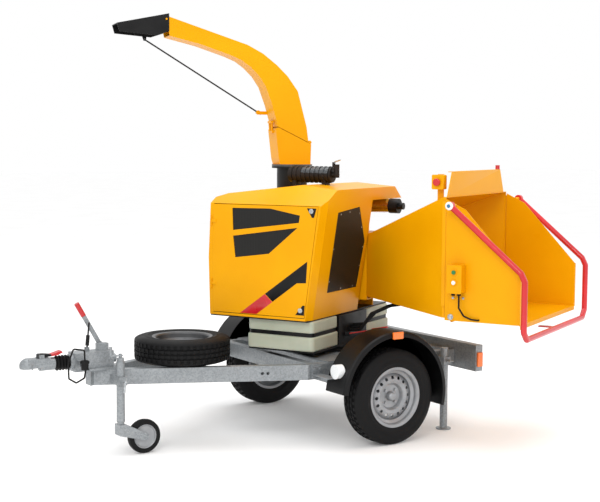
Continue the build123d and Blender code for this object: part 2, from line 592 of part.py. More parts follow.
WIN1 = [(-332, 1405), (-62, 1408), (144, 1372), (137, 1328), (-327, 1268)]
WIN2 = [(-327, 1233), (128, 1298), (-71, 1133), (-311, 1100)]
LATCHES = ((222.0, 1400.0), (150.0, 800.0))
LATCH_R = 8.0
# the leaf meets the hood along its hinge edge and keeps its shadow gap along the other three
hinge_edge = [(u + RUN, min(max(z, DOOR[0][1] + DOOR_GAP), DOOR[2][1] - DOOR_GAP)) for u, z in DOOR[:3]]
door = slab_xz(hinge_edge + inset_poly(DOOR, DOOR_GAP)[3:], HOOD_NEAR, HOOD_NEAR + SHEET)
door = door + slab_xz(inset_poly(DOOR, 8), HOOD_NEAR + SHEET, HOOD_NEAR + 12)
door = door - slab_xz(inset_poly(DOOR, 34), HOOD_NEAR + SHEET, HOOD_NEAR + 20)
meshes = []
for window in (WIN1, WIN2):
    door = door - slab_xz(window, HOOD_NEAR - 5, HOOD_NEAR + 20)
    meshes.append(slab_xz(inset_poly(window, -8), HOOD_NEAR + SHEET, HOOD_NEAR + SHEET + 2))
door = union([door] + meshes)
for u, z in LATCHES:
    door = door - cy(u, z, LATCH_R, HOOD_NEAR - 1, HOOD_NEAR + 30)
for z in HINGE_ROWS:
    z0 = z + KNUCKLE + RUN
    z1 = z + 2 * KNUCKLE - RUN
    leaf = cz(DOOR_HINGE_U, DOOR_HINGE_V, 4, z0, z1)
    leaf = leaf + bx(DOOR_HINGE_U, DOOR_HINGE_U + 34, HOOD_NEAR - 3.3, HOOD_NEAR - RUN, z0, z1)
    leaf = leaf + bx(DOOR_HINGE_U + 18, DOOR_HINGE_U + 34, HOOD_NEAR - RUN, HOOD_NEAR + 1, z0, z1)
    door = door + (leaf - cz(DOOR_HINGE_U, DOOR_HINGE_V, DOOR_PIN_R + SHAFT_GAP, z, z + 3 * KNUCKLE))
slew("hood_door", door)
latches = []
for u, z in LATCHES:
    latch = cy(u, z, LATCH_R + 7, HOOD_NEAR - 6, HOOD_NEAR) + cy(u, z, LATCH_R, HOOD_NEAR, HOOD_NEAR + 26)
    latches.append(latch)
slew("door_latches", group(latches))

# leaning mesh grille in the front face
GRILLE_BACK = 6.0         # back and front of the mesh behind the face of the hood
GRILLE_FRONT = 2.0
leaning_sheet = slab_xz([(front_u(850) - GRILLE_BACK, 850), (front_u(850) - GRILLE_FRONT, 850),
                         (front_u(1450) - GRILLE_FRONT, 1450), (front_u(1450) - GRILLE_BACK, 1450)],
                        -500, 200)
grille = slab_yz(inset_poly(GRILLE, 1.0), 180, 360) & leaning_sheet
slew("front_grille", grille)

# ---------------------------------------------------------------- engine bay
engine = bx(-330, 60, -440, -200, DECK_Z + 40, 1130)
engine = engine + bx(-300, 20, -400, -240, 1130, 1260)
for u in (-270, 0):
    for v in (-400, -240):
        engine = engine + cz(u, v, 28, DECK_Z, DECK_Z + 45)
engine = engine + bx(100, 155, -370, 10, 890, 1390) + bx(70, 175, -370, 10, DECK_Z, 890)
engine = engine + cx(-230, 1080, 24, 55, 105)
slew("engine", engine)

# ---------------------------------------------------------------- chipper disc and housing
DISC_V = 300.0
DISC_Z0 = 1010.0
DISC_R = 215.0
DISC_U = TOWER_U
HUB_R = 30.0
DUCT_TOP = 1468.0
case = cx(DISC_V, DISC_Z0, DISC_R + 22, DISC_U - 72, DISC_U + 72)
case = case + bx(DISC_U - 72, DISC_U + 72, DISC_V - 120, DISC_V + 120, DECK_Z, DISC_Z0)
case = case + bx(DISC_U - 72, DISC_U + 72, TOWER_V - 84, TOWER_V + 84, DISC_Z0 + 60, DUCT_TOP)
hollow = cx(DISC_V, DISC_Z0, DISC_R + 14, DISC_U - 64, DISC_U + 64)
hollow = hollow + bx(DISC_U - 64, DISC_U + 64, TOWER_V - 76, TOWER_V + 76, DISC_Z0 + 60, DUCT_TOP + 42)
case = case - hollow
INLET = (LINE_V - 90, LINE_V + 90, 905.0, 1085.0)
case = case - bx(DISC_U, DISC_U + 90, *INLET)
case = case - cx(DISC_V, DISC_Z0, HUB_R + SHAFT_GAP, DISC_U - 100, DISC_U + 100)
chimney = cz(TOWER_U, TOWER_V, CHIMNEY_R, DUCT_TOP - 10, FLANGE_Z - FLANGE_T)
chimney = chimney + cz(TOWER_U, TOWER_V, FLANGE_R, FLANGE_Z - FLANGE_T, FLANGE_Z)
chimney = chimney + bx(DISC_U - 72, DISC_U + 72, TOWER_V - 84, TOWER_V + 84, DUCT_TOP - 10, DUCT_TOP)
case = case + (chimney - cz(TOWER_U, TOWER_V, CHIMNEY_R - 8, 1400, 1700))
slew("chipper_housing", case)
disc = cx(DISC_V, DISC_Z0, DISC_R, DISC_U - 14, DISC_U + 14)
disc = disc + cx(DISC_V, DISC_Z0, HUB_R, DISC_U - 135, DISC_U + 71)
disc = disc + cx(DISC_V, DISC_Z0, 75, DISC_U - 130, DISC_U - 84)
for angle in (0, 90, 180, 270):
    paddle = Pos(DISC_U - 35, DISC_V, DISC_Z0) * Rot(angle, 0, 0) * Pos(0, 0, 150) * Box(42, 10, 120)
    disc = disc + paddle
for angle in (90, 270):
    knife = Pos(DISC_U + 19, DISC_V, DISC_Z0) * Rot(angle, 0, 0) * Pos(0, 0, 140) * Box(10, 46, 120)
    disc = disc + knife
slew("chipper_disc", disc)

# feed box with two rollers between hopper and disc housing
FEED_U0 = DISC_U + 72
FEED_U1 = 262.0
V0 = LINE_V - FEED_WIDTH / 2
V1 = LINE_V + FEED_WIDTH / 2
feed = bx(-60, FEED_U1, V0 - 8, V0, 800, 1230) + bx(-60, FEED_U1, V1, V1 + 8, 800, 1230)
feed = feed + bx(-60, FEED_U1, V0, V1, 800, 808)
feed = feed + bx(-60, FEED_U1, V0, V1, 1222, 1230)
throat = bx(FEED_U0, -60, V0 - 8, V1 + 8, 880, 1110) - bx(FEED_U0 - 1, -59, V0 + 30, V1 - 30, 904, 1086)
feed = feed + throat
feed = feed + bx(-60, -52, V0 - 8, V1 + 8, 800, 904) + bx(-60, -52, V0 - 8, V1 + 8, 1086, 1230)
feed = feed + bx(-60, 190, V0 - 8, V0 + 4, DECK_Z, 802) + bx(-60, 190, V1 - 4, V1 + 8, DECK_Z, 802)
LOW_ROLL = (60.0, 875.0, 62.0)      # u, z and radius of each roller
TOP_ROLL = (60.0, 1085.0, 90.0)
ROLL_SHAFT_R = 15.0
SWING_PIN = (-30.0, 1180.0)
SWING_PIN_R = 14.0
feed = feed - cy(LOW_ROLL[0], LOW_ROLL[1], ROLL_SHAFT_R + SHAFT_GAP, V0 - 20, V1 + 20)
slot = bx(TOP_ROLL[0] - 20, TOP_ROLL[0] + 52, V0 - 20, V1 + 20, TOP_ROLL[1] - 20, TOP_ROLL[1] + 110)
feed = feed - slot
feed = feed + cy(*SWING_PIN, SWING_PIN_R, V0 - 40, V0) + cy(*SWING_PIN, SWING_PIN_R, V1, V1 + 40)
slew("feed_box", feed)


def toothed_roller(u, z, r, teeth, shaft_v):
    body = cy(u, z, r - 14, V0 + 8, V1 - 8)
    body = body + cy(u, z, ROLL_SHAFT_R, *shaft_v)
    for index in range(teeth):
        rib = Pos(0, 0, r - 16) * Box(10, V1 - V0 - 20, 30)
        rib = Pos(u, LINE_V, z) * Rot(0, 360 * index / teeth, 0) * rib
        body = body + rib
    return body


slew("lower_feed_roller", toothed_roller(*LOW_ROLL, 8, (V0 - 8, V1 + 8)))
slew("upper_feed_roller", toothed_roller(*TOP_ROLL, 10, (V0 - 26, V1 + 26)))
swing = []
for s, v_in in ((-1, V0 - 8 - RUN), (1, V1 + 8 + RUN)):
    v0, v1 = (v_in - 14, v_in) if s < 0 else (v_in, v_in + 14)
    arm = slab_xz([(-52, 1160), (-52, 1202), (60, 1150), (92, 1085), (60, 1055), (30, 1070)], v0, v1)
    arm = arm - cy(*SWING_PIN, SWING_PIN_R + SHAFT_GAP, V0 - 60, V1 + 60)
    arm = arm - cy(TOP_ROLL[0], TOP_ROLL[1], ROLL_SHAFT_R + SHAFT_GAP, V0 - 60, V1 + 60)
    swing.append(arm)
swing.append(bx(30, 60, V0 - 22 - RUN, V1 + 22 + RUN, 1240, 1256))
swing.append(bx(30, 60, V0 - 22 - RUN, V0 - 8 - RUN, 1120, 1245))
swing.append(bx(30, 60, V1 + 8 + RUN, V1 + 22 + RUN, 1120, 1245))
slew("roller_swing_frame", union(swing))

# air filter under the roof of the recess: canister, end cap and inlet on one axis
FILTER_V = 300.0
FILTER_Z = 1400.0
canister = cx(FILTER_V, FILTER_Z, 45, 170, 330)
canister = canister + bx(200, 300, FILTER_V - 10, FILTER_V + 10, FILTER_Z - 44, RECESS_Z)
end_cap = cx(FILTER_V, FILTER_Z, 48, 330, 392) + cx(FILTER_V, FILTER_Z, 22, 392, 425)
slew("air_filter", canister + end_cap)

# ---------------------------------------------------------------- hopper
# fixed funnel from the feed box to the fold line
THROAT_HALF = 128.0       # small end of the funnel, at the feed box
THROAT_LOW = 824.0
THROAT_HIGH = 1222.0
WIDE_HALF = HOPPER_HALF - SHEET - 1.0
WIDE_LOW = 781.0          # wide end of the funnel, at the fold
WIDE_HIGH = 1494.0
COLLAR_U0 = FOLD_U - 12.0
COLLAR_U1 = FOLD_U + 2.0


def funnel_end(u, half, low, high, inset):
    corners = [(u, LINE_V - half + inset, low + inset), (u, LINE_V + half - inset, low + inset),
               (u, LINE_V + half - inset, high - inset), (u, LINE_V - half + inset, high - inset)]
    return make_face(Polyline(*corners, close=True))


def funnel_solid(inset):
    return loft([funnel_end(FEED_U1, THROAT_HALF, THROAT_LOW, THROAT_HIGH, inset),
                 funnel_end(COLLAR_U0, WIDE_HALF, WIDE_LOW, WIDE_HIGH, inset)])


funnel = funnel_solid(0.0) - funnel_solid(SHEET)
back = bx(FEED_U1, FEED_U1 + SHEET, LINE_V - THROAT_HALF, LINE_V + THROAT_HALF,
          THROAT_LOW - 2, THROAT_HIGH + 2)
back = back - bx(FEED_U1 - 5, FEED_U1 + 10, V0, V1, 830, 1200)
funnel = funnel + back
collar = bx(COLLAR_U0, COLLAR_U1, LINE_V - WIDE_HALF, LINE_V + WIDE_HALF, WIDE_LOW, WIDE_HIGH)
collar = collar - bx(COLLAR_U0 - 28, COLLAR_U1 + 38, LINE_V - WIDE_HALF + SHEET, LINE_V + WIDE_HALF - SHEET,
                     WIDE_LOW + SHEET, WIDE_HIGH - SHEET)
funnel = funnel + collar
# raised back board across the top of the funnel
backboard = slab_yz([(LINE_V - 482, 1490), (LINE_V - 410, 1641), (LINE_V + 410, 1641),
                     (LINE_V + 482, 1490)], FOLD_U - 8, FOLD_U - 4)
rail = bx(FOLD_U - 30, FOLD_U - 4, LINE_V - 410, LINE_V + 410, 1637, 1641)
funnel = funnel + backboard + rail
FOLD_HINGES = (LINE_V - 380.0, LINE_V + 380.0)
FOLD_PIN_R = 5.0
for hinge_v in FOLD_HINGES:
    funnel = funnel + cy(*FOLD_PIVOT, 2 * FOLD_PIN_R, hinge_v - 29, hinge_v + 29)
    funnel = funnel + cy(*FOLD_PIVOT, FOLD_PIN_R, hinge_v - 62, hinge_v + 62)
    funnel = funnel + slab_xz([(926, 783), (958, 783), (972, 766), (966, 752), (950, 760)],
                              hinge_v - 29, hinge_v + 29)
slew("hopper_funnel", funnel)

# folding table: floor and two side walls outside the funnel walls
TABLE_Z = 768.0           # underside of the table floor
TABLE_U = FOLD_U + 6.0
SIDE_TOP = 1045.0         # height of the side walls at the mouth
WALL = [(TABLE_U, TABLE_Z), (TABLE_U, 1482), (1085, 1424), (MOUTH_U, SIDE_TOP), (MOUTH_U, TABLE_Z)]
NEAR_WALL = LINE_V - HOPPER_HALF
FAR_WALL = LINE_V + HOPPER_HALF
FLANGE_LIP = 14.0
BAR_BOSS_R = 10.0
table = slab_xz(WALL, NEAR_WALL, NEAR_WALL + SHEET) + slab_xz(WALL, FAR_WALL - SHEET, FAR_WALL)
table = table + bx(TABLE_U, MOUTH_U, NEAR_WALL, FAR_WALL, TABLE_Z, TABLE_Z + SHEET)
table = table + bx(MOUTH_U - SHEET, MOUTH_U, NEAR_WALL, FAR_WALL, TABLE_Z - 22, TABLE_Z + SHEET)


def outside_wall(s, reach):
    # the two v values of something that stands out from the near (-1) or far (1) wall
    wall = LINE_V + s * HOPPER_HALF
    return sorted((wall, wall + s * reach))


for s in (-1, 1):
    table = table + bx(MOUTH_U - SHEET, MOUTH_U, *outside_wall(s, FLANGE_LIP), TABLE_Z, SIDE_TOP)
    table = table + cy(1001, 790, 12, *outside_wall(s, 9))
    table = table + cy(*BAR_PIVOT, BAR_BOSS_R, *outside_wall(s, 78))
for hinge_v in FOLD_HINGES:
    table = table - bx(950, 1000, hinge_v - 30, hinge_v + 30, 760, 776)
    for side_v in (hinge_v - 44.5, hinge_v + 44.5):
        knuckle = cy(*FOLD_PIVOT, 2 * FOLD_PIN_R, side_v - 14, side_v + 14)
        tab = [(968, TABLE_Z), (1012, TABLE_Z), (1000, 758), (984, 750)]
        knuckle = knuckle + slab_xz(tab, side_v - 14, side_v + 14)
        table = table + (knuckle - cy(*FOLD_PIVOT, FOLD_PIN_R + SHAFT_GAP, side_v - 20, side_v + 20))
slew("hopper_table", table)

# safety bar: tube frame round the mouth, hung on two pivots
BAR_U = MOUTH_U + BAR_REACH
BAR_LOW = 694.0
TUBE_WALL = 3.0
near_run = [(BAR_PIVOT[0], -BAR_HALF, BAR_PIVOT[1]), (BAR_U - 22, -BAR_HALF, 1075),
            (BAR_U, -BAR_HALF, 1030), (BAR_U, -BAR_HALF, 742), (BAR_U, -BAR_HALF + 52, BAR_LOW)]
bar_route = [(u, LINE_V + v, z) for u, v, z in near_run]
bar_route = bar_route + [(u, LINE_V - v, z) for u, v, z in reversed(near_run)]
safety = bent_rod(bar_route, 20, BAR_R) - bent_rod(bar_route, 20, BAR_R - TUBE_WALL)
for v_mid in (LINE_V - BAR_HALF, LINE_V + BAR_HALF):
    safety = safety + cy(*BAR_PIVOT, 24, v_mid - 17, v_mid + 17)
    safety = safety - cy(*BAR_PIVOT, BAR_BOSS_R + SHAFT_GAP, v_mid - 40, v_mid + 40)
tongue = bx(MOUTH_U - 60, BAR_U, LINE_V - 20, LINE_V + 20, BAR_LOW + 2, BAR_LOW + 10)
slew("safety_bar", safety + tongue)

# control box on the near wall, with its two push buttons
BOX_U = 1048.0            # middle of the control box
BOX_HALF = 46.0
BOX_LOW = 937.0
BOX_HIGH = 1103.0
BOX_FACE = NEAR_WALL - 70.0
BUTTON_R = 12.0
GLANDS_U = (BOX_U - 18.0, BOX_U + 18.0)
BUTTONS = {"start_button": 1062.0, "stop_button": 1002.0}
case = bx(BOX_U - BOX_HALF, BOX_U + BOX_HALF, BOX_FACE, NEAR_WALL, BOX_LOW, BOX_HIGH)
case = fillet(case.edges().filter_by(Axis.Y), 10)
for z in BUTTONS.values():
    case = case + cy(BOX_U, z, BUTTON_R + 7, BOX_FACE - 6, BOX_FACE)
    case = case - cy(BOX_U, z, BUTTON_R + SHAFT_GAP, BOX_FACE - 30, BOX_FACE + 20)
for u in GLANDS_U:
    case = case + cz(u, NEAR_WALL - 35, 11, BOX_LOW - 15, BOX_LOW)
slew("control_box", case)
for name, z in BUTTONS.items():
    slew(name, cy(BOX_U, z, BUTTON_R, BOX_FACE - 14, BOX_FACE + 14))

# emergency stop on a bracket above the funnel top
STOP_U = 881.0
STOP_V = -180.0
STOP_Z = 1578.0
STEM_R = 10.0
bracket = bx(STOP_U - 20, STOP_U + 20, STOP_V - 2, STOP_V + 2, 1440, 1625) - funnel_solid(2.0)
weld("hopper_funnel", SLEW * bracket)
stop_box = bx(STOP_U - 38, STOP_U + 38, STOP_V - 52, STOP_V - 2, 1535, 1622)
stop_box = fillet(stop_box.edges().filter_by(Axis.Y), 8)
stop_box = stop_box - cy(STOP_U, STOP_Z, STEM_R + SHAFT_GAP, STOP_V - 60, STOP_V - 25)
slew("stop_box", stop_box)
stem = cy(STOP_U, STOP_Z, STEM_R, STOP_V - 60, STOP_V - 30)
slew("mushroom_button", stem + cy(STOP_U, STOP_Z, 22, STOP_V - 76, STOP_V - 60))
# red cap knob on the rail of the back board, then the cable of the control box
weld("hopper_funnel", SLEW * cz(FOLD_U - 17, LINE_V + 395, 14, 1640, 1668))
cable = bent_rod([(GLANDS_U[1], NEAR_WALL - 35, BOX_LOW - 13), (GLANDS_U[1], NEAR_WALL - 35, 850),
                  (1092, NEAR_WALL - 20, 803), (1135, NEAR_WALL - 14, 786), (1178, NEAR_WALL - 14, 783),
                  (1178, NEAR_WALL - 0.2, 783)], 11, 5)
weld("control_box", SLEW * cable)
# three hydraulic hoses from the base frame to the underside of the funnel
hoses = []
for index, v in enumerate((-40.0, -12.0, 16.0)):
    hoses.append(bent_rod([(213, v, 620 + 14 * index), (290, v, 630 + 14 * index),
                           (350, v + 30, 730), (430, v + 110, 775), (520, v + 150, 790),
                           (540 + 8 * index, v + 170, 809)], 12, 10))
slew("hydraulic_hoses", group(hoses))

# slewing lock lever on the base face
LOCK_PIN = (231.0, 604.0)
LOCK_PIN_R = 4.0
LOCK_V = -100.0
lock_bracket = bx(215, 243, LOCK_V - 12, LOCK_V + 12, 590, 618)
lock_bracket = lock_bracket - bx(218, 250, LOCK_V - 4 - RUN, LOCK_V + 4 + RUN, 580, 630)
lock_bracket = lock_bracket + cy(*LOCK_PIN, LOCK_PIN_R, LOCK_V - 12, LOCK_V + 12)
weld("base_frame", SLEW * lock_bracket)
lock = cy(*LOCK_PIN, 9, LOCK_V - 4, LOCK_V + 4) + rod((238, LOCK_V, 606), (400, LOCK_V, 640), 4)
lock = lock + rod((400, LOCK_V, 640), (505, LOCK_V, 662), 11)
lock = lock - cy(*LOCK_PIN, LOCK_PIN_R + SHAFT_GAP, LOCK_V - 20, LOCK_V + 20)
slew("slew_lock_lever", lock)

# ---------------------------------------------------------------- silencer on the hood
MUFFLER_V = -150.0
MUFFLER_Z = 1607.0
MUFFLER_R = 48.0
STACK_U = 166.0
STACK_R = 18.0
GUARD_RIBS = 9
muffler = cx(MUFFLER_V, MUFFLER_Z, MUFFLER_R, -160, 140)
for u in (-120, 90):
    leg = bx(u - 14, u + 14, MUFFLER_V - 30, MUFFLER_V + 30, 1500, MUFFLER_Z)
    muffler = muffler + (leg - hood_body(0.0, DECK_Z))
for index in range(GUARD_RIBS):
    u = -140 + index * 32
    ring = cx(MUFFLER_V, MUFFLER_Z, MUFFLER_R + 5, u, u + 10)
    muffler = muffler + (ring - cx(MUFFLER_V, MUFFLER_Z, MUFFLER_R - 1, u - 1, u + 11))
muffler = muffler + cx(MUFFLER_V, MUFFLER_Z, STACK_R, 140, STACK_U + 12)
muffler = muffler + cz(STACK_U, MUFFLER_V, STACK_R, MUFFLER_Z - STACK_R, 1672)
muffler = muffler - cz(STACK_U, MUFFLER_V, STACK_R - 4, MUFFLER_Z, 1700)
CAP_PIN = (146.0, 1680.0)
CAP_PIN_R = 2.5
for v in (MUFFLER_V - 10, MUFFLER_V + 7):
    muffler = muffler + bx(140, 152, v, v + 3, 1655, 1686)
muffler = muffler + cy(*CAP_PIN, CAP_PIN_R, MUFFLER_V - 10, MUFFLER_V + 10)
slew("silencer", muffler)
cap = Pos(172, MUFFLER_V, 1694) * Rot(0, -22, 0) * Cylinder(22, 3)
cap = cap + cy(*CAP_PIN, 6, MUFFLER_V - 6, MUFFLER_V + 6)
cap = cap + rod((CAP_PIN[0], MUFFLER_V, CAP_PIN[1] + 4), (160, MUFFLER_V, 1690), 3)
cap = cap - cy(*CAP_PIN, CAP_PIN_R + SHAFT_GAP, MUFFLER_V - 30, MUFFLER_V + 30)
slew("rain_cap", cap)

# ---------------------------------------------------------------- discharge chute
# drawn in d (spout direction), w (across), z about the tower axis
SPOUT = SLEW * Pos(TOWER_U, TOWER_V, 0) * Rot(0, 0, CHUTE_HEADING - SLEW_REST)
JOINT_A = (122.0, 1905.0)
JOINT_B = (-85.0, 1805.0)
HINGE = (-97.0, 1808.0)   # pin that the arch folds about
HINGE_R = 12.0
HINGE_PIN_R = 6.0
ring_flange = cz(0, 0, FLANGE_R, FLANGE_Z + RUN, FLANGE_Z + 14) - cz(0, 0, 92, 1600, 1700)
lower_out = slab_xz([(-100, FLANGE_Z + 14), (-104, 1795), JOINT_B, JOINT_A, (140, 1890), (118, 1700),
                     (108, FLANGE_Z + 14)], -CHUTE_HALF, CHUTE_HALF)
lower_in = slab_xz([(-96, FLANGE_Z), (-99, 1790), (-96, 1806), (118, 1912), (133, 1888), (114, 1700),
                    (104, FLANGE_Z)], -CHUTE_HALF + SHEET, CHUTE_HALF - SHEET)
lower = (lower_out - lower_in) + ring_flange
lower = lower - cz(0, 0, 90, 1600, FLANGE_Z + 13)
for w in (-60, 60):
    lower = lower + cy(*HINGE, HINGE_R, w - 20, w + 20)
lower = lower - cy(*HINGE, HINGE_PIN_R + SHAFT_GAP, -120, 120)
keep("chute_elbow", SPOUT * lower)
OUTER = [(-85, 1808), (-72, 1905), (-10, 2139), (60, 2235), (134, 2306), (228, 2378), (332, 2431),
         (600, 2515), (868, 2600)]
INNER = [(842, 2473), (640, 2425), (446, 2363), (370, 2332), (311, 2290), (255, 2235), (209, 2168),
         (165, 2050), (125, 1909)]
ARCH_GAP = 1.2            # between the elbow and the arch where they part
up_out = slab_xz([(d, z + ARCH_GAP) for d, z in OUTER + INNER], -CHUTE_HALF, CHUTE_HALF)
OUT_IN = [(-72, 1800), (-67, 1904), (-5.5, 2137), (63, 2231), (137, 2302), (230, 2374), (334, 2427),
          (602, 2511), (900, 2606)]
IN_IN = [(900, 2491), (639, 2429), (444.5, 2367), (368, 2336), (308, 2293), (251, 2237), (205, 2169.5),
         (160, 2051), (112, 1890)]
up_in = slab_xz(OUT_IN + IN_IN, -CHUTE_HALF + SHEET, CHUTE_HALF - SHEET)
upper = up_out - up_in
for w in (-60, 60):
    upper = upper - cy(*HINGE, HINGE_R + RUN, w - 21, w + 21)
link = slab_xz([(-106, 1812), (-98, 1824), (-80, 1832), (-80, 1812), (-92, 1803)], -38, 38)
upper = upper + (link + cy(*HINGE, HINGE_PIN_R, -84, 84))
keep("chute_arch", SPOUT * upper)
FLAP_PIN = (864.0, 2578.0)
FLAP_PIN_R = 6.0
flap_roof = slab_xz([(846, 2614), (1177, 2545), (1177, 2540), (846, 2608)], -CHUTE_HALF - 6, CHUTE_HALF + 6)
side_pts = [(846, 2612), (1177, 2543), (1163, 2492), (928, 2474), (846, 2502)]
cheeks = slab_xz(side_pts, -CHUTE_HALF - 5, -CHUTE_HALF - 1)
cheeks = cheeks + slab_xz(side_pts, CHUTE_HALF + 1, CHUTE_HALF + 5)
deflector = flap_roof + cheeks
deflector = deflector - cy(*FLAP_PIN, FLAP_PIN_R + SHAFT_GAP, -150, 150)
FLAP_RING = (967.0, 2462.0)         # eye where the control rod hooks on
ring_tab = slab_xz([(955, 2480), (985, 2480), (975, 2452), (960, 2452)], -CHUTE_HALF - 5, -CHUTE_HALF - 1)
deflector = deflector + ring_tab
deflector = deflector - cy(FLAP_RING[0], FLAP_RING[1] - 2, 4, -150, 150)
keep("deflector_flap", SPOUT * deflector)
pins = cy(*FLAP_PIN, FLAP_PIN_R, -CHUTE_HALF - 14, -CHUTE_HALF)
pins = pins + cy(*FLAP_PIN, FLAP_PIN_R, CHUTE_HALF, CHUTE_HALF + 14)
weld("chute_arch", SPOUT * pins)
ROD_W = -CHUTE_HALF - 16
ROD_R = 5.0
rod_top = (FLAP_RING[0], ROD_W, FLAP_RING[1])
rod_low = (186.0, ROD_W, 1992.0)
control = rod(rod_top, rod_low, ROD_R)
keep("control_rod", SPOUT * control)
gland = cy(208, 2005, 13, ROD_W - 9, -CHUTE_HALF) + bx(140, 216, ROD_W + 8, -CHUTE_HALF, 1990, 2012)
gland = gland - rod(rod_top, between(rod_top, rod_low, 1.123), ROD_R + SHAFT_GAP)
weld("chute_arch", SPOUT * gland)
clamp_bar = bx(116, 150, -30, 30, 1868, 1884) + rod((146, -24, 1880), (150, -24, 1935), 7)
clamp_bar = clamp_bar + rod((146, 24, 1880), (150, 24, 1935), 7) + rod((150, -40, 1940), (150, 40, 1940), 9)
weld("chute_elbow", SPOUT * clamp_bar)

# ---------------------------------------------------------------- write everything
whole = Compound(children=[solid for shape in nodes.values() for solid in shape.solids()])
outline = whole.bounding_box()
shift = Pos(-(outline.min.X + outline.max.X) / 2, -(outline.min.Y + outline.max.Y) / 2, -outline.min.Z)
for name, shape in nodes.items():
    export_step(shift * shape, "parts/" + name + ".step")
print("shift", shift.position)
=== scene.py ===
import math

import bmesh
import bpy
from mathutils import Matrix, Vector


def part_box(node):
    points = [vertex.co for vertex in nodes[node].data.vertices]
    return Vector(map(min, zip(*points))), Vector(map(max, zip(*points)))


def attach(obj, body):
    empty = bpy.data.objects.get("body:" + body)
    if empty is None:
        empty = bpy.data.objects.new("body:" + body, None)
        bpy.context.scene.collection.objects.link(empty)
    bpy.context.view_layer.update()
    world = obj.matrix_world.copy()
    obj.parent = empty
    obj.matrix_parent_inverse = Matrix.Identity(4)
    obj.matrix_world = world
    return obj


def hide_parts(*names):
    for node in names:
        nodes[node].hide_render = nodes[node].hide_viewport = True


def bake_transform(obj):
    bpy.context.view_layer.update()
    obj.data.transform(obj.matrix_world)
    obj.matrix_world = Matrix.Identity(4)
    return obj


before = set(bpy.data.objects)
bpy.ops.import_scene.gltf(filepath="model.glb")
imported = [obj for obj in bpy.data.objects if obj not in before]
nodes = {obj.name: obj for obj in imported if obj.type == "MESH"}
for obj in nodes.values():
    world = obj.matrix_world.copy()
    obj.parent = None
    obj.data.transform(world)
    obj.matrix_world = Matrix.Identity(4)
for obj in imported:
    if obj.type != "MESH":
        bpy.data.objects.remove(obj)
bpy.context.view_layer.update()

# ------------------------------------------------------------------ studio
# A pale floor under the chipper, three large soft lamps and a bright even surround.  The camera
# stands on the drawbar side of the machine at eye height with a longish lens.
slew_low, slew_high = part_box("slew_ring")
SLEW_X = (slew_low.x + slew_high.x) / 2
SLEW_Y = (slew_low.y + slew_high.y) / 2
CAMERA_BACK = 4.5371
CAMERA_SIDE = 6.6930
CAMERA_HEIGHT = 1.8088
CAMERA_YAW = 0.5768
CAMERA_DIP = 0.0862
CAMERA_ROLL = 0.0057


def place_camera():
    forward = Vector((math.sin(CAMERA_YAW) * math.cos(CAMERA_DIP),
                      math.cos(CAMERA_YAW) * math.cos(CAMERA_DIP), -math.sin(CAMERA_DIP)))
    level = Vector((math.cos(CAMERA_YAW), -math.sin(CAMERA_YAW), 0))
    upright = level.cross(forward)
    right = math.cos(CAMERA_ROLL) * level + math.sin(CAMERA_ROLL) * upright
    up = -math.sin(CAMERA_ROLL) * level + math.cos(CAMERA_ROLL) * upright
    data = bpy.data.cameras.new("studio_camera")
    data.sensor_width = 36
    data.lens = 75.514
    data.clip_end = 200
    camera = bpy.data.objects.new("studio_camera", data)
    turn = Matrix((right, up, -forward)).transposed().to_4x4()
    spot = Vector((SLEW_X - CAMERA_BACK, SLEW_Y - CAMERA_SIDE, CAMERA_HEIGHT))
    camera.matrix_world = Matrix.Translation(spot) @ turn
    bpy.context.scene.collection.objects.link(camera)
    bpy.context.scene.camera = camera


def soft_lamp(name, spot, aim, size, watts, tint):
    data = bpy.data.lights.new(name, "AREA")
    data.shape = "RECTANGLE"
    data.size = size[0]
    data.size_y = size[1]
    data.energy = watts
    data.color = tint
    lamp = bpy.data.objects.new(name, data)
    lamp.location = spot
    lamp.rotation_euler = (Vector(aim) - Vector(spot)).to_track_quat("-Z", "Y").to_euler()
    bpy.context.scene.collection.objects.link(lamp)


place_camera()
soft_lamp("lamp_front_left", (-5.5, -5.5, 5.5), (0, 0, 1.0), (4.0, 3.0), 240, (1.0, 0.98, 0.95))
soft_lamp("lamp_overhead", (0.5, 0.5, 6.5), (0, 0, 0), (6.0, 6.0), 230, (1.0, 1.0, 1.0))
soft_lamp("lamp_right", (6.0, -4.0, 3.5), (0.5, 0, 1.0), (3.0, 3.0), 50, (0.96, 0.98, 1.0))


def linear(code):
    # sRGB hex to the linear colour that shaders take
    parts = [int(code[i:i + 2], 16) / 255 for i in (1, 3, 5)]
    return tuple(p / 12.92 if p <= 0.04045 else ((p + 0.055) / 1.055) ** 2.4 for p in parts) + (1.0,)


def add(tree, kind, settings=None, links=None, **values):
    # adds one shader node; settings are its properties, values its sockets, links its wires
    made = tree.nodes.new("ShaderNode" + kind)
    for key, value in (settings or {}).items():
        setattr(made, key, value)
    for key, value in values.items():
        made.inputs[key.replace("_", " ")].default_value = value
    for key, source in (links or {}).items():
        tree.links.new(source, made.inputs[key])
    return made


def new_material(name):
    material = bpy.data.materials.new(name)
    material.use_nodes = True
    tree = material.node_tree
    tree.nodes.clear()
    out = add(tree, "OutputMaterial")
    shader = add(tree, "BsdfPrincipled")
    tree.links.new(shader.outputs[0], out.inputs[0])
    place = add(tree, "TexCoord").outputs["Object"]
    return material, tree, shader, place


def ramp(tree, source, low, high, colour_low, colour_high):
    made = add(tree, "ValToRGB", links={"Fac": source})
    made.color_ramp.elements[0].position = low
    made.color_ramp.elements[0].color = colour_low
    made.color_ramp.elements[1].position = high
    made.color_ramp.elements[1].color = colour_high
    return made.outputs["Color"]


def grey(value):
    return (value, value, value, 1.0)


def bump(tree, shader, height, strength, distance):
    made = add(tree, "Bump", links={"Height": height}, Strength=strength, Distance=distance)
    tree.links.new(made.outputs[0], shader.inputs["Normal"])


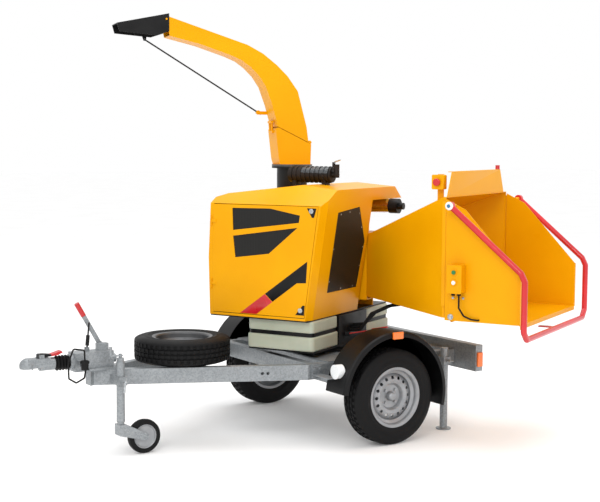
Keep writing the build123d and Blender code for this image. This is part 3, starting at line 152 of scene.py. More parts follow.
# Studio floor: nearly white and matt, with faint mottling, and a slight glow that hides its far edge.
def studio_floor():
    material, tree, shader, place = new_material("studio_floor_paint")
    mottle = add(tree, "TexNoise", links={"Vector": place}, Scale=1.3, Detail=5.0)
    colour = ramp(tree, mottle.outputs["Fac"], 0.3, 0.7, linear("#F4F4F4"), linear("#F8F8F8"))
    tree.links.new(colour, shader.inputs["Base Color"])
    shader.inputs["Roughness"].default_value = 0.85
    shader.inputs["Specular IOR Level"].default_value = 0.2
    shader.inputs["Emission Color"].default_value = (1.0, 1.0, 1.0, 1.0)
    shader.inputs["Emission Strength"].default_value = 0.07
    mesh = bpy.data.meshes.new("studio_floor")
    shape = bmesh.new()
    bmesh.ops.create_grid(shape, x_segments=2, y_segments=2, size=60)
    bmesh.ops.translate(shape, verts=shape.verts, vec=(0, 0, -0.0005))
    shape.to_mesh(mesh)
    floor = bpy.data.objects.new("studio_floor", mesh)
    floor.data.materials.append(material)
    bpy.context.scene.collection.objects.link(floor)


studio_floor()
surround = bpy.data.worlds.new("studio_surround")
bpy.context.scene.world = surround
surround.use_nodes = True
surround.node_tree.nodes["Background"].inputs["Color"].default_value = (1.0, 1.0, 1.0, 1.0)
surround.node_tree.nodes["Background"].inputs["Strength"].default_value = 1.0
bpy.context.scene.view_settings.view_transform = "Standard"


# ------------------------------------------------------------------ road and spare tyres
# Three radial road tyres, 155/80 R13, in moulded black rubber.  Four rain grooves run round the tread
# and cross sipes are pressed into it; two tyres sit on the road wheels, one lies on the drawbar.

# Rubber: nearly black and dull, with paler dusty patches and a fine moulded grain.
def tyre_rubber():
    material, tree, shader, place = new_material("moulded_tyre_rubber")
    dust = add(tree, "TexNoise", links={"Vector": place}, Scale=9.0, Detail=6.0)
    colour = ramp(tree, dust.outputs["Fac"], 0.35, 0.75, linear("#0B0B0C"), linear("#141415"))
    tree.links.new(colour, shader.inputs["Base Color"])
    shader.inputs["Specular IOR Level"].default_value = 0.18
    gloss = ramp(tree, dust.outputs["Fac"], 0.3, 0.7, grey(0.55), grey(0.75))
    tree.links.new(gloss, shader.inputs["Roughness"])
    grain = add(tree, "TexNoise", links={"Vector": place}, Scale=350.0, Detail=2.0)
    bump(tree, shader, grain.outputs["Fac"], 0.25, 0.0006)
    return material


RUBBER = tyre_rubber()


def finish_piece(shape, name, material, body, stands_for=(), smooth=35):
    # turns a finished bmesh into a piece in place, smooth where faces nearly agree
    mesh = bpy.data.meshes.new(name)
    shape.to_mesh(mesh)
    shape.free()
    piece = bpy.data.objects.new(name, mesh)
    bpy.context.scene.collection.objects.link(piece)
    for each in (material if isinstance(material, (list, tuple)) else [material]):
        mesh.materials.append(each)
    mesh.shade_smooth()
    mesh.set_sharp_from_angle(angle=math.radians(smooth))
    if body:
        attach(piece, body)
    if stands_for:
        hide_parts(*([stands_for] if isinstance(stands_for, str) else stands_for))
    return piece


BEAD = 0.165           # radius of the bead on the rim
TREAD_RADIUS = 0.2862  # faces beyond this belong to the tread blocks
TREAD_STEP = 0.03      # half width of the middle ribs
SIPE_DEPTH = 0.0035


def tyre_shape(sections=96):
    # the side walls and tread band are one outline spun round the axle, then the tread is cut
    outline = [(BEAD, -0.046), (BEAD, -0.062), (0.170, -0.0625), (0.176, -0.068), (0.184, -0.0705),
               (0.190, -0.0718), (0.200, -0.0755), (0.206, -0.0765), (0.207, -0.0775), (0.222, -0.0775),
               (0.2235, -0.0765), (0.240, -0.0765), (0.252, -0.0750), (0.266, -0.0705),
               (0.276, -0.0665), (0.2845, -0.061), (0.2875, -0.053)]
    shape = bmesh.new()
    verts = [shape.verts.new((r, y, 0)) for r, y in outline]
    half_tread = [(0.2885, -0.043), (0.2885, -0.0310), (0.2815, -0.0300), (0.2815, -0.0245),
                  (0.2890, -0.0235), (0.2890, -0.0045), (0.2820, -0.0035)]
    verts += [shape.verts.new((r, y, 0)) for r, y in half_tread]
    verts += [shape.verts.new((r, -y, 0)) for r, y in reversed(half_tread)]
    verts += [shape.verts.new((r, -y, 0)) for r, y in reversed(outline)]
    ring = [shape.edges.new((a, b)) for a, b in zip(verts, verts[1:])]
    ring.append(shape.edges.new((verts[-1], verts[0])))
    bmesh.ops.spin(shape, geom=list(shape.verts) + list(shape.edges), cent=(0, 0, 0), axis=(0, 1, 0),
                   angle=math.tau, steps=sections, use_merge=True)
    bmesh.ops.recalc_face_normals(shape, faces=shape.faces)
    blocks = []
    for face in shape.faces:
        middle = face.calc_center_median()
        radius = math.hypot(middle.x, middle.z)
        turn = math.degrees(math.atan2(middle.z, middle.x)) % 360
        column = int(turn / 360 * sections)
        side = int(abs(middle.y) > TREAD_STEP)
        if radius > TREAD_RADIUS and column % 2 == side:
            blocks.append(face)
    bmesh.ops.inset_individual(shape, faces=blocks, thickness=0.0012, depth=0.0)
    for face in blocks:
        middle = face.calc_center_median()
        inward = Vector((-middle.x, 0, -middle.z)).normalized() * SIPE_DEPTH
        bmesh.ops.translate(shape, verts=list(face.verts), vec=inward)
    return shape


def tyre_piece(name, node, body, upright=True):
    low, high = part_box(node)
    shape = tyre_shape()
    if not upright:
        bmesh.ops.rotate(shape, verts=shape.verts, cent=(0, 0, 0),
                         matrix=Matrix.Rotation(math.pi / 2, 3, "X"))
    bmesh.ops.translate(shape, verts=shape.verts, vec=(low + high) / 2)
    return finish_piece(shape, name, RUBBER, body, node, smooth=40)


tyre_piece("near_road_tyre", "road_tyre_near", "wheel_near")
tyre_piece("far_road_tyre", "road_tyre_far", "wheel_far")
tyre_piece("spare_road_tyre", "spare_tyre", "chassis", upright=False)


# ------------------------------------------------------------------ steel wheels
# Pressed steel wheels with vent holes and rolled rim flanges, in stove enamel.  The spare lies face
# down on its carrier; its rim takes a dark grey copy of the enamel, which is painted shade for the shadow it
# lies in.
def softened(node, name, material, body, width=0.0015, steps=2, angle=32, pick=None):
    # a copy of a CAD node with its facets merged into clean faces and its edges rounded;
    # pick gives each face the number of its material
    shape = bmesh.new()
    shape.from_mesh(nodes[node].data)
    bmesh.ops.remove_doubles(shape, verts=shape.verts, dist=0.00001)
    bmesh.ops.dissolve_limit(shape, angle_limit=math.radians(0.6), verts=shape.verts, edges=shape.edges)
    if pick:
        for face in shape.faces:
            face.material_index = int(pick(face.calc_center_median()))
    piece = finish_piece(shape, name, material, body, node)
    rounding = piece.modifiers.new("edge_rounding", "BEVEL")
    rounding.width = width
    rounding.segments = steps
    rounding.limit_method = "ANGLE"
    rounding.angle_limit = math.radians(angle)
    rounding.use_clamp_overlap = True
    rounding.harden_normals = False
    return piece


# Stove enamel: satin metallic grey, clouded in tone and gloss, with fine orange peel.
def silver_enamel(name="silver_stove_enamel", dark="#8B8D90", light="#A0A2A5"):
    material, tree, shader, place = new_material(name)
    cloud = add(tree, "TexNoise", links={"Vector": place}, Scale=14.0, Detail=4.0)
    colour = ramp(tree, cloud.outputs["Fac"], 0.3, 0.7, linear(dark), linear(light))
    tree.links.new(colour, shader.inputs["Base Color"])
    shader.inputs["Metallic"].default_value = 0.55
    gloss = ramp(tree, cloud.outputs["Fac"], 0.3, 0.8, grey(0.34), grey(0.48))
    tree.links.new(gloss, shader.inputs["Roughness"])
    peel = add(tree, "TexNoise", links={"Vector": place}, Scale=420.0, Detail=1.0)
    bump(tree, shader, peel.outputs["Fac"], 0.12, 0.0004)
    return material


SILVER = silver_enamel()
# a darker copy of the silver enamel: painted shade for the face-down spare wheel, not a different finish
SHADED_SPARE_GREY = silver_enamel("spare_wheel_painted_shade_grey", "#4E4F51", "#5E5F61")
softened("road_rim_near", "near_road_wheel", SILVER, "wheel_near", width=0.0012)
softened("road_rim_far", "far_road_wheel", SILVER, "wheel_far", width=0.0012)
# the spare rim is the same enamel, painted darker as painted shade
softened("spare_rim", "spare_road_wheel", SHADED_SPARE_GREY, "chassis", width=0.0012)


# ------------------------------------------------------------------ galvanised chassis
# Welded box-section beams, axle, overrun housing, stands and light channel, all hot-dip galvanised
# after welding, so that their edges are rounded by the zinc.

# Zinc: light grey spangles about 8 mm across in low contrast, weathered in broad patches, and
# slightly lumpy from the bath.
def galvanised_zinc(name="hot_dip_zinc", dark="#8C9093", light="#A3A7AA", rough=0.44):
    material, tree, shader, place = new_material(name)
    warp = add(tree, "TexNoise", links={"Vector": place}, Scale=30.0, Detail=2.0)
    mixed = add(tree, "VectorMath", {"operation": "MULTIPLY_ADD"}, {0: warp.outputs["Color"], 2: place})
    mixed.inputs[1].default_value = (0.006, 0.006, 0.006)
    spangle = add(tree, "TexVoronoi", links={"Vector": mixed.outputs[0]}, Scale=130.0)
    cell = add(tree, "SeparateColor", links={"Color": spangle.outputs["Color"]})
    colour = ramp(tree, cell.outputs[0], 0.0, 1.0, linear(dark), linear(light))
    weather = add(tree, "TexNoise", links={"Vector": place}, Scale=5.0, Detail=5.0)
    blend = add(tree, "Mix", {"data_type": "RGBA", "blend_type": "MULTIPLY"},
                {6: colour, 0: weather.outputs["Fac"]})
    blend.inputs[7].default_value = linear("#D8DADB")
    tree.links.new(blend.outputs[2], shader.inputs["Base Color"])
    shader.inputs["Metallic"].default_value = 0.5
    gloss = ramp(tree, cell.outputs[1], 0.0, 1.0, grey(rough - 0.08), grey(rough + 0.1))
    tree.links.new(gloss, shader.inputs["Roughness"])
    bump(tree, shader, warp.outputs["Fac"], 0.15, 0.0008)
    return material


ZINC = galvanised_zinc()
for node, name, body, width, steps in (
        ("chassis_frame", "galvanised_chassis", "chassis", 0.004, 3),
        ("axle_tube", "braked_axle", "chassis", 0.004, 3),
        ("light_board", "rear_light_channel", "chassis", 0.0012, 2),
        ("brake_rod", "brake_pull_rod", "chassis", 0.001, 2),
        ("overrun_housing", "overrun_body", "chassis", 0.003, 3),
        ("stand_clamps", "stand_clamp_blocks", "chassis", 0.003, 3),
        ("jockey_outer_tube", "jockey_tube", "jockey_tube", 0.001, 2),
        ("jockey_crank", "jockey_crank_handle", "jockey_crank_body", 0.0015, 2),
        ("jockey_fork", "jockey_wheel_fork", "jockey_fork_body", 0.0015, 2),
        ("prop_stand", "rear_prop_stand", "prop", 0.0015, 2),
        ("coupling_head", "ball_coupling", "coupling", 0.003, 3)):
    softened(node, name, ZINC, body, width=width, steps=steps)

STEEL = galvanised_zinc("bright_plated_steel", "#A9ADB0", "#C9CCCE", 0.25)
softened("jockey_clamp_toggle", "clamp_toggle_bar", STEEL, "clamp_toggle", width=0.001)


# ------------------------------------------------------------------ black plastic and rubber
# Moulded polyethylene mudguards and towing plug, the solid-tyred jockey wheel with its steel rim, the
# rubber bellows and the hydraulic hoses.

# Moulding: near-black, with the mould's leather texture in the bump and a slight uneven bloom.
def black_moulding(name, dark="#0A0A0B", light="#121213", rough=0.5, grain_size=260.0):
    material, tree, shader, place = new_material(name)
    bloom = add(tree, "TexNoise", links={"Vector": place}, Scale=7.0, Detail=6.0)
    colour = ramp(tree, bloom.outputs["Fac"], 0.35, 0.75, linear(dark), linear(light))
    tree.links.new(colour, shader.inputs["Base Color"])
    shader.inputs["Specular IOR Level"].default_value = 0.2
    gloss = ramp(tree, bloom.outputs["Fac"], 0.3, 0.7, grey(rough - 0.08), grey(rough + 0.08))
    tree.links.new(gloss, shader.inputs["Roughness"])
    grain = add(tree, "TexVoronoi", links={"Vector": place}, Scale=grain_size)
    bump(tree, shader, grain.outputs["Distance"], 0.2, 0.0006)
    return material


GUARD_PLASTIC = black_moulding("grained_black_polyethylene", rough=0.42)
SOFT_RUBBER = black_moulding("black_moulded_rubber", rough=0.62)
softened("mudguards", "black_mudguards", GUARD_PLASTIC, "chassis", width=0.003, steps=3)
softened("towing_plug", "parked_towing_plug", GUARD_PLASTIC, "chassis", width=0.002)
softened("hydraulic_hoses", "black_hydraulic_hoses", SOFT_RUBBER, "superstructure", width=0.001)

JOCKEY_X = -1361
JOCKEY_Z = 100
JOCKEY_RIM = 70


def trailer_place(point):
    return (point.x - SLEW_X) * 1000, (point.y - SLEW_Y) * 1000, point.z * 1000


def in_jockey_rim(point):
    x, y, z = trailer_place(point)
    return math.hypot(x - JOCKEY_X, z - JOCKEY_Z) < JOCKEY_RIM


softened("jockey_wheel", "jockey_rubber_wheel", [SOFT_RUBBER, SILVER], "jockey_wheel_body",
         width=0.002, pick=in_jockey_rim)

RIBS = 4
COLLAR = 0.008  # length of the plain collar at each end of the bellows


def bellows_shape():
    # four full ribs between two collars
    low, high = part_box("bellows")
    length = high.x - low.x
    radius = min(high.y - low.y, high.z - low.z) / 2
    middle = (low + high) / 2
    outline = [(0, radius * 0.8), (0.006, radius * 0.82), (COLLAR, radius * 0.66)]
    pitch = (length - 2 * COLLAR) / RIBS
    for k in range(RIBS):
        start = COLLAR + k * pitch
        for share, part in ((0.18, 0.74), (0.36, 0.96), (0.5, 1.0), (0.64, 0.96), (0.82, 0.74), (1.0, 0.66)):
            outline.append((start + pitch * share, radius * part))
    outline += [(length - 0.006, radius * 0.82), (length, radius * 0.8)]
    inner = [(length, radius * 0.62), (0, radius * 0.62)]
    shape = bmesh.new()
    ring = [shape.verts.new((low.x + along, middle.y, middle.z + r)) for along, r in outline + inner]
    edges = [shape.edges.new((a, b)) for a, b in zip(ring, ring[1:])] + [shape.edges.new((ring[-1], ring[0]))]
    bmesh.ops.spin(shape, geom=ring + edges, cent=middle, axis=(1, 0, 0), angle=math.tau, steps=48,
                   use_merge=True)
    bmesh.ops.recalc_face_normals(shape, faces=shape.faces)
    return shape


def coupling_bellows():
    # sits between coupling and housing, baked in place with no body; the real bellows is squeezed as the
    # coupling slides in
    piece = finish_piece(bellows_shape(), "coupling_bellows", SOFT_RUBBER, None, "bellows",
                         smooth=60)
    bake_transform(piece)


coupling_bellows()


# ------------------------------------------------------------------ lamps and reflectors
# Moulded acrylic lenses on the rear channel and the mudguards, pressed into their housings.

# Acrylic: glossy and clear-coated, with a fine prism grid behind the face.
def lens(name, deep, bright):
    material, tree, shader, place = new_material(name)
    prism = add(tree, "TexChecker", links={"Vector": place}, Scale=320.0)
    prism.inputs["Color1"].default_value = linear(deep)
    prism.inputs["Color2"].default_value = linear(bright)
    tree.links.new(prism.outputs["Color"], shader.inputs["Base Color"])
    shader.inputs["Roughness"].default_value = 0.14
    shader.inputs["Coat Weight"].default_value = 0.6
    bump(tree, shader, prism.outputs["Fac"], 0.1, 0.0004)
    return material


for node, name, colours, slot, width, steps in (
        ("rear_lamps", "rear_lamp_lenses", ("red_acrylic", "#7A0A0C", "#B01418"), "lens_red", 0.004, 3),
        ("side_markers", "amber_side_markers", ("amber_acrylic", "#E0560A", "#FF8A1E"), "lens_amber",
         0.003, 3),
        ("front_reflectors", "white_front_reflectors", ("white_acrylic", "#D9DCDD", "#F4F6F6"), "lens_white",
         0.006, 4)):
    softened(node, name, lens(*colours), "chassis", width=width, steps=steps)


# ------------------------------------------------------------------ handles
# Moulded plastic grips on the coupling, the handbrake and the slewing lock; the levers under them are
# galvanised or painted steel.

# Gloss coat or plastic: clear-coated colour with slight clouding and fine orange peel.
def gloss_red(name, dark="#B30F18", light="#CC1620", rough=0.25):
    material, tree, shader, place = new_material(name)
    cloud = add(tree, "TexNoise", links={"Vector": place}, Scale=5.0, Detail=3.0)
    colour = ramp(tree, cloud.outputs["Fac"], 0.3, 0.7, linear(dark), linear(light))
    tree.links.new(colour, shader.inputs["Base Color"])
    gloss = ramp(tree, cloud.outputs["Fac"], 0.3, 0.7, grey(rough), grey(rough + 0.1))
    tree.links.new(gloss, shader.inputs["Roughness"])
    shader.inputs["Coat Weight"].default_value = 0.3
    peel = add(tree, "TexNoise", links={"Vector": place}, Scale=260.0, Detail=2.0)
    bump(tree, shader, peel.outputs["Fac"], 0.08, 0.0005)
    return material


RED = gloss_red("gloss_red_powder_coat")
RED_PLASTIC = gloss_red("moulded_red_plastic", "#A80E14", "#C0151B", 0.35)
LEVER_X = -1545       # pivot of the handbrake lever
LEVER_Z = 625
LEVER_DIR_X = -0.503
LEVER_DIR_Z = 0.864
GRIP_START = 204      # millimetres along the lever
GRIP_RING = (236, 240)
COUPLING_GRIP_X = -1872


def on_handbrake_grip(point):
    x, y, z = trailer_place(point)
    along = (x - LEVER_X) * LEVER_DIR_X + (z - LEVER_Z) * LEVER_DIR_Z
    if along < GRIP_START:
        return 0
    return 1 if GRIP_RING[0] < along < GRIP_RING[1] else 2


softened("handbrake_lever", "handbrake_bar", [ZINC, GUARD_PLASTIC, RED_PLASTIC], "handbrake",
         width=0.002, pick=on_handbrake_grip)
softened("slew_lock_lever", "slewing_lock_lever", RED_PLASTIC, "slew_lock", width=0.001)
softened("coupling_handle", "coupling_grip_handle", [RED_PLASTIC, GUARD_PLASTIC], "coupling_latch",
         width=0.003, pick=lambda point: trailer_place(point)[0] < COUPLING_GRIP_X)


# ------------------------------------------------------------------ turntable and tanks
# Welded steel turntable on the slew ring, in black powder coat, between pairs of blow-moulded tanks.

# Black powder coat: deep satin black with slight clouding and orange peel.
def black_powder(name="black_powder_coat", dark="#070708", light="#0F0F10", rough=0.38):
    material, tree, shader, place = new_material(name)
    cloud = add(tree, "TexNoise", links={"Vector": place}, Scale=11.0, Detail=4.0)
    colour = ramp(tree, cloud.outputs["Fac"], 0.3, 0.7, linear(dark), linear(light))
    tree.links.new(colour, shader.inputs["Base Color"])
    shader.inputs["Specular IOR Level"].default_value = 0.25
    gloss = ramp(tree, cloud.outputs["Fac"], 0.3, 0.7, grey(rough - 0.06), grey(rough + 0.1))
    tree.links.new(gloss, shader.inputs["Roughness"])
    peel = add(tree, "TexNoise", links={"Vector": place}, Scale=500.0, Detail=1.0)
    bump(tree, shader, peel.outputs["Fac"], 0.2, 0.0005)
    return material


# Milky polyethylene: pale grey-green, a little translucent, with the grain of the mould.
def milky_polyethylene():
    material, tree, shader, place = new_material("milky_polyethylene")
    cloud = add(tree, "TexNoise", links={"Vector": place}, Scale=6.0, Detail=5.0)
    colour = ramp(tree, cloud.outputs["Fac"], 0.3, 0.75, linear("#A3A793"), linear("#B5B8A6"))
    tree.links.new(colour, shader.inputs["Base Color"])
    shader.inputs["Roughness"].default_value = 0.45
    shader.inputs["Subsurface Weight"].default_value = 0.15
    shader.inputs["Subsurface Scale"].default_value = 0.01
    grain = add(tree, "TexNoise", links={"Vector": place}, Scale=180.0, Detail=3.0)
    bump(tree, shader, grain.outputs["Fac"], 0.15, 0.0008)
    return material


BLACK = black_powder()
TANK = milky_polyethylene()
softened("slew_ring", "fixed_slew_ring", BLACK, "chassis", width=0.0015)
softened("base_frame", "turntable_frame", BLACK, "superstructure", width=0.003)
softened("lower_tanks", "lower_side_tanks", TANK, "superstructure", width=0.010, steps=4)
softened("upper_tanks", "upper_side_tanks", TANK, "superstructure", width=0.008, steps=4)
softened("spring_strut", "handbrake_strut", BLACK, "strut", width=0.001)


# ------------------------------------------------------------------ engine hood and its door
# Folded and welded sheet steel in yellow powder coat.  The door has two windows of perforated sheet,
# two latch plates and a plain two-colour stripe; the front grille is screwed on.

# Yellow powder coat: warm and satin, slightly clouded in gloss, with light orange peel.
def yellow_coat():
    material, tree, shader, place = new_material("gloss_yellow_powder_coat")
    cloud = add(tree, "TexNoise", links={"Vector": place}, Scale=2.2, Detail=3.0)
    colour = ramp(tree, cloud.outputs["Fac"], 0.3, 0.7, linear("#DC9600"), linear("#E5A102"))
    tree.links.new(colour, shader.inputs["Base Color"])
    gloss = ramp(tree, cloud.outputs["Fac"], 0.3, 0.7, grey(0.26), grey(0.36))
    tree.links.new(gloss, shader.inputs["Roughness"])
    shader.inputs["Specular IOR Level"].default_value = 0.12
    peel = add(tree, "TexNoise", links={"Vector": place}, Scale=260.0, Detail=2.0)
    bump(tree, shader, peel.outputs["Fac"], 0.08, 0.0005)
    return material


# Perforated sheet: black, with a regular dot pattern at a pitch of about 5 mm.
def black_mesh():
    material, tree, shader, place = new_material("black_perforated_sheet")
    dots = add(tree, "TexVoronoi", links={"Vector": place}, Scale=190.0, Randomness=0.0)
    colour = ramp(tree, dots.outputs["Distance"], 0.25, 0.5, linear("#040404"), linear("#1B1A18"))
    tree.links.new(colour, shader.inputs["Base Color"])
    shader.inputs["Roughness"].default_value = 0.5
    shader.inputs["Specular IOR Level"].default_value = 0.25
    bump(tree, shader, dots.outputs["Distance"], 0.5, 0.0012)
    return material


YELLOW = yellow_coat()
MESH = black_mesh()
SLEW_COS = math.cos(math.radians(62))
SLEW_SIN = math.sin(math.radians(62))
SHEET_FACES = (-577.5, -572.5)  # the perforated sheet lies between these, behind the door's face


def trailer(x, y, z):
    # millimetres behind, beyond and above the slew centre at the ground
    return Vector((SLEW_X + x / 1000, SLEW_Y + y / 1000, z / 1000))


def upper(u, v, z):
    # millimetres towards the hopper, across and up on the slewed machine
    return trailer(u * SLEW_COS + v * SLEW_SIN, -u * SLEW_SIN + v * SLEW_COS, z)


def upper_place(point):
    x, y = (point.x - SLEW_X) * 1000, (point.y - SLEW_Y) * 1000
    return x * SLEW_COS - y * SLEW_SIN, x * SLEW_SIN + y * SLEW_COS, point.z * 1000


def behind_window(point):
    u, v, z = upper_place(point)
    return SHEET_FACES[0] < v < SHEET_FACES[1]


softened("hood_shell", "engine_hood", YELLOW, "superstructure", width=0.0016)
softened("hood_door", "hood_side_door", [YELLOW, MESH], "side_door", width=0.0008,
         pick=behind_window)
softened("front_grille", "front_mesh_grille", MESH, "superstructure", width=0.0006)
softened("door_latches", "door_latch_heads", STEEL, "side_door", width=0.002)


def prism(shape, corners, thick, number=0, soft=0.0006):
    # a flat plate: corners in space, thickened by the vector thick
    low = [shape.verts.new(c) for c in corners]
    high = [shape.verts.new(c + thick) for c in corners]
    count = len(low)
    made = [shape.faces.new(low), shape.faces.new(list(reversed(high)))]
    for i in range(count):
        j = (i + 1) % count
        made.append(shape.faces.new((low[j], low[i], high[i], high[j])))
    bmesh.ops.recalc_face_normals(shape, faces=made)
    for face in made:
        face.material_index = number
    edges = list({e for f in made for e in f.edges})
    made += bmesh.ops.bevel(shape, geom=edges, offset=soft, segments=2, profile=0.5, affect="EDGES",
                            material=-1)["faces"]
    for face in made:
        if face.is_valid:
            face.material_index = number


DOOR_FACE = -579.8
OUTWARD = (upper(0, -1, 0) - upper(0, 0, 0)).normalized()  # out of the door
FORWARD = (upper(1, 0, 0) - upper(0, 0, 0)).normalized()   # towards the hopper
FILM = 0.0007
PLATE = 0.0022
RED_FIELD = ((-275, 758), (-98.6, 885.4), (-45, 839.7), (-157, 758))
BLACK_FIELD = ((-96.6, 886.9), (196, 1099), (188, 968), (125, 964), (-43, 841.2))
LATCH_PLATES = (((192, 1417), (256, 1417), (240, 1362), (226, 1362)),
                ((116, 772), (175, 772), (180, 832), (166, 832)))


def on_door(u, z):
    return upper(u, DOOR_FACE, z)


stripe = bmesh.new()
prism(stripe, [on_door(u, z) for u, z in RED_FIELD], OUTWARD * FILM, 1, 0.0001)
prism(stripe, [on_door(u, z) for u, z in BLACK_FIELD], OUTWARD * FILM, 0, 0.0001)
for corners in LATCH_PLATES:
    prism(stripe, [on_door(u, z) for u, z in corners], OUTWARD * PLATE, 0, 0.0006)
finish_piece(stripe, "door_stripe_and_latch_plates", [BLACK, RED], "side_door")


def lathe(shape, spot, axis, outline, number=0, sides=24):
    # an outline of (along, radius) spun round an axis; six sides give a hexagon
    axis = axis.normalized()
    across = axis.orthogonal().normalized()
    other = axis.cross(across)
    rings = []
    for along, radius in outline:
        ring = []
        for k in range(sides):
            turn = math.tau * k / sides
            spoke = across * math.cos(turn) + other * math.sin(turn)
            ring.append(shape.verts.new(spot + axis * along + spoke * radius))
        rings.append(ring)
    made = [shape.faces.new(rings[0]), shape.faces.new(rings[-1])]
    for a, b in zip(rings, rings[1:]):
        for k in range(sides):
            j = (k + 1) % sides
            made.append(shape.faces.new((a[k], a[j], b[j], b[k])))
    bmesh.ops.recalc_face_normals(shape, faces=made)
    for face in made:
        face.material_index = number


GRILLE = ((-380, 890), (-378, 1385), (-90, 1410), (52, 1185), (24, 890))
GRILLE_MIDDLE = (-160, 1140)
SCREW_INSET = 0.06     # share of the way from the edge to the middle
SCREW_SHARES = (0.12, 0.55)
SCREW_HEAD = [(0, 0.0065), (0.0035, 0.006), (0.005, 0.003)]


def grille_face(z):
    # the front of the hood leans out as it rises, and the grille is let in a little
    return 202 + 0.149 * (z - 737) - 6


screws = bmesh.new()
for start, end in zip(GRILLE, GRILLE[1:] + GRILLE[:1]):
    for share in SCREW_SHARES:
        v = start[0] + (end[0] - start[0]) * share
        z = start[1] + (end[1] - start[1]) * share
        v += (GRILLE_MIDDLE[0] - v) * SCREW_INSET
        z += (GRILLE_MIDDLE[1] - z) * SCREW_INSET
        lathe(screws, upper(grille_face(z), v, z), FORWARD, SCREW_HEAD, 0, 16)
finish_piece(screws, "grille_screws", STEEL, "superstructure")


# ------------------------------------------------------------------ engine, rotor and feed rollers
# Cast iron engine block, knife disc and toothed feed rollers, inside black and yellow welded
# housings, with the upper roller on its swinging arms.

# Bare iron: dark grey, coarse and dull.
IRON = black_powder("bare_cast_iron", "#26272A", "#3A3B3E", 0.55)
softened("engine", "engine_block_body", IRON, "superstructure", width=0.004)
softened("chipper_disc", "knife_disc", IRON, "disc", width=0.0015)
softened("lower_feed_roller", "lower_toothed_roller", IRON, "lower_roller", width=0.0015)
softened("upper_feed_roller", "upper_toothed_roller", IRON, "upper_roller", width=0.0015)
softened("chipper_housing", "rotor_housing", BLACK, "superstructure", width=0.002)
softened("feed_box", "feed_roller_box", YELLOW, "superstructure", width=0.0015)
softened("roller_swing_frame", "roller_arms", YELLOW, "swing_frame", width=0.002)


# ------------------------------------------------------------------ exhaust and air filter
# Ribbed silencer under a plated heat shield, with a hinged rain cap on its stack, and the polished
# air filter canister with its black plastic end cap.

# Polished stainless: mirror-bright, with a faint cloudy variation.
def polished_stainless():
    material, tree, shader, place = new_material("polished_stainless_steel")
    lines = add(tree, "TexNoise", links={"Vector": place}, Scale=60.0, Detail=3.0)
    colour = ramp(tree, lines.outputs["Fac"], 0.3, 0.7, linear("#B4B6B8"), linear("#D0D2D3"))
    tree.links.new(colour, shader.inputs["Base Color"])
    shader.inputs["Metallic"].default_value = 1.0
    shader.inputs["Roughness"].default_value = 0.16
    bump(tree, shader, lines.outputs["Fac"], 0.05, 0.0003)
    return material


# Muffler: brown-black from heat.  Shield: dark smoked metal.
MUFFLER = black_powder("heat_browned_black", "#100D0B", "#241B15", 0.5)
SHIELD = galvanised_zinc("smoked_heat_shield_steel", "#47494B", "#64676A", 0.35)
CHROME = polished_stainless()
SHIELD_LOW = 1.618
SHIELD_ENDS = (-62, 128)
FILTER_CAP_U = 329
softened("silencer", "exhaust_silencer", [MUFFLER, SHIELD], "superstructure", width=0.0015,
         pick=lambda point: point.z > SHIELD_LOW and SHIELD_ENDS[0] < upper_place(point)[0] < SHIELD_ENDS[1])
softened("rain_cap", "exhaust_rain_cap", STEEL, "cap", width=0.0006)
softened("air_filter", "polished_canister", [CHROME, GUARD_PLASTIC], "superstructure", width=0.004,
         pick=lambda point: upper_place(point)[0] > FILTER_CAP_U)


# ------------------------------------------------------------------ feed hopper and safety bar
# Fixed funnel and folding table in yellow sheet steel, thin cover strips over the joint between them,
# plated bolts, and the red tube of the safety bar with plastic caps on its pivots.
KNOB_LOW = 1639
KNOB_NEAR = 560


def on_red_knob(point):
    u, v, z = upper_place(point)
    return z > KNOB_LOW and v > KNOB_NEAR


softened("hopper_funnel", "fixed_funnel", [YELLOW, RED_PLASTIC], "superstructure",
         width=0.0012, pick=on_red_knob)
softened("hopper_table", "folding_table", YELLOW, "fold_table", width=0.0012)
softened("safety_bar", "red_safety_bar", RED, "bar", width=0.001)


def bolt(shape, spot, axis, size=0.0085, number=0):
    # washer and hexagon head with a chamfered top
    lathe(shape, spot, axis, [(0, size * 1.25), (0.0014, size * 1.25), (0.0018, size * 1.15)], number)
    lathe(shape, spot + axis.normalized() * 0.0016, axis,
          [(0, size * 0.95), (size * 0.1, size), (size * 0.6, size), (size * 0.7, size * 0.82)], number, 6)


fasteners = bmesh.new()
for u, z, size in ((1001, 790, 0.014), (1080, 905, 0.006), (1016, 905, 0.006)):
    bolt(fasteners, upper(u, -296, z), OUTWARD, size)
finish_piece(fasteners, "table_pivot_bolts", STEEL, "fold_table")

STRIP = ((941, 850), (963.5, 850), (963.5, 1470), (941, 1470))
strips = bmesh.new()
for v, thick in ((746.6, 2), (-294.6, -2)):
    prism(strips, [upper(u, v, z) for u, z in STRIP], upper(0, thick, 0) - upper(0, 0, 0))
finish_piece(strips, "funnel_joint_strips", YELLOW, "superstructure")

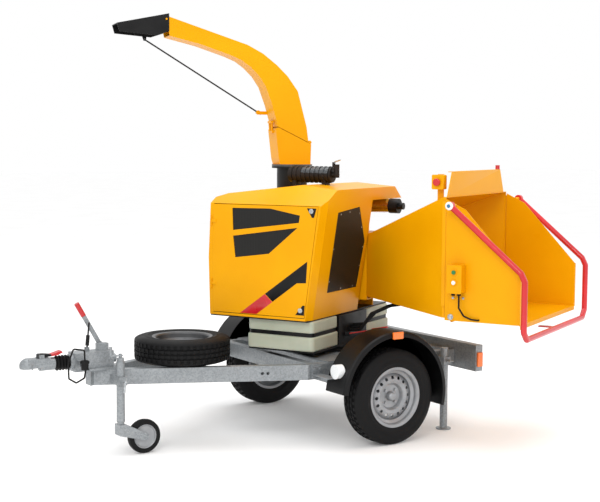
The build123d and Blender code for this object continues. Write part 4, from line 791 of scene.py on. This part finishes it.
WHITE = gloss_red("moulded_white_plastic", "#D8D9D4", "#ECECE8", 0.3)
BLUE = gloss_red("moulded_blue_plastic", "#1E5B86", "#2A6E9C", 0.3)
BAR_MIDDLE = 226       # the bar's middle, and how far out its cap faces lie
BAR_REACH = 594 + 18
CAP_RIM = [(-0.004, 0.024), (0.003, 0.024), (0.008, 0.020), (0.009, 0.012)]
CAP_CENTRE = [(0, 0.011), (0.003, 0.0105), (0.0045, 0.007)]
caps = bmesh.new()
for v, way in ((BAR_MIDDLE - BAR_REACH, OUTWARD), (BAR_MIDDLE + BAR_REACH, -OUTWARD)):
    lathe(caps, upper(1020, v, 1447), way, CAP_RIM, 0, 32)
    lathe(caps, upper(1020, v, 1447) + way * 0.008, way, CAP_CENTRE, 1, 24)
finish_piece(caps, "bar_pivot_caps", [WHITE, BLUE], "bar")


# ------------------------------------------------------------------ controls
# Yellow plastic control station with a green and a white button and a black cable, and the stop box
# with its red mushroom button.
GREEN = gloss_red("moulded_green_plastic", "#0E6A34", "#15803F", 0.3)
STATION_LOW = 0.9365   # glands and cable hang below this
softened("control_box", "control_station", [YELLOW, SOFT_RUBBER], "fold_table", width=0.002,
         pick=lambda point: point.z < STATION_LOW)
softened("stop_box", "stop_button_box", YELLOW, "superstructure", width=0.002)
softened("start_button", "green_start_button", GREEN, "start", width=0.002)
softened("stop_button", "white_stop_button", WHITE, "stop", width=0.002)
softened("mushroom_button", "stop_mushroom", RED_PLASTIC, "mushroom", width=0.003)


# ------------------------------------------------------------------ spout
# Folded sheet steel elbow on a dull plated flange, the hinged arch above it, and the black flap that
# the control rod tilts.
FLANGE = galvanised_zinc("dull_plated_flange", "#4A4D50", "#5C6063", 0.4)
FLANGE_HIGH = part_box("chute_elbow")[0].z + 0.0125
softened("chute_elbow", "spout_elbow", [YELLOW, FLANGE], "spout_base", width=0.0012,
         pick=lambda point: point.z < FLANGE_HIGH)
softened("chute_arch", "spout_arch", YELLOW, "spout", width=0.0012)
softened("deflector_flap", "spout_deflector", BLACK, "flap", width=0.0012)
softened("control_rod", "flap_control_rod", BLACK, "flap_rod", width=0.0006)
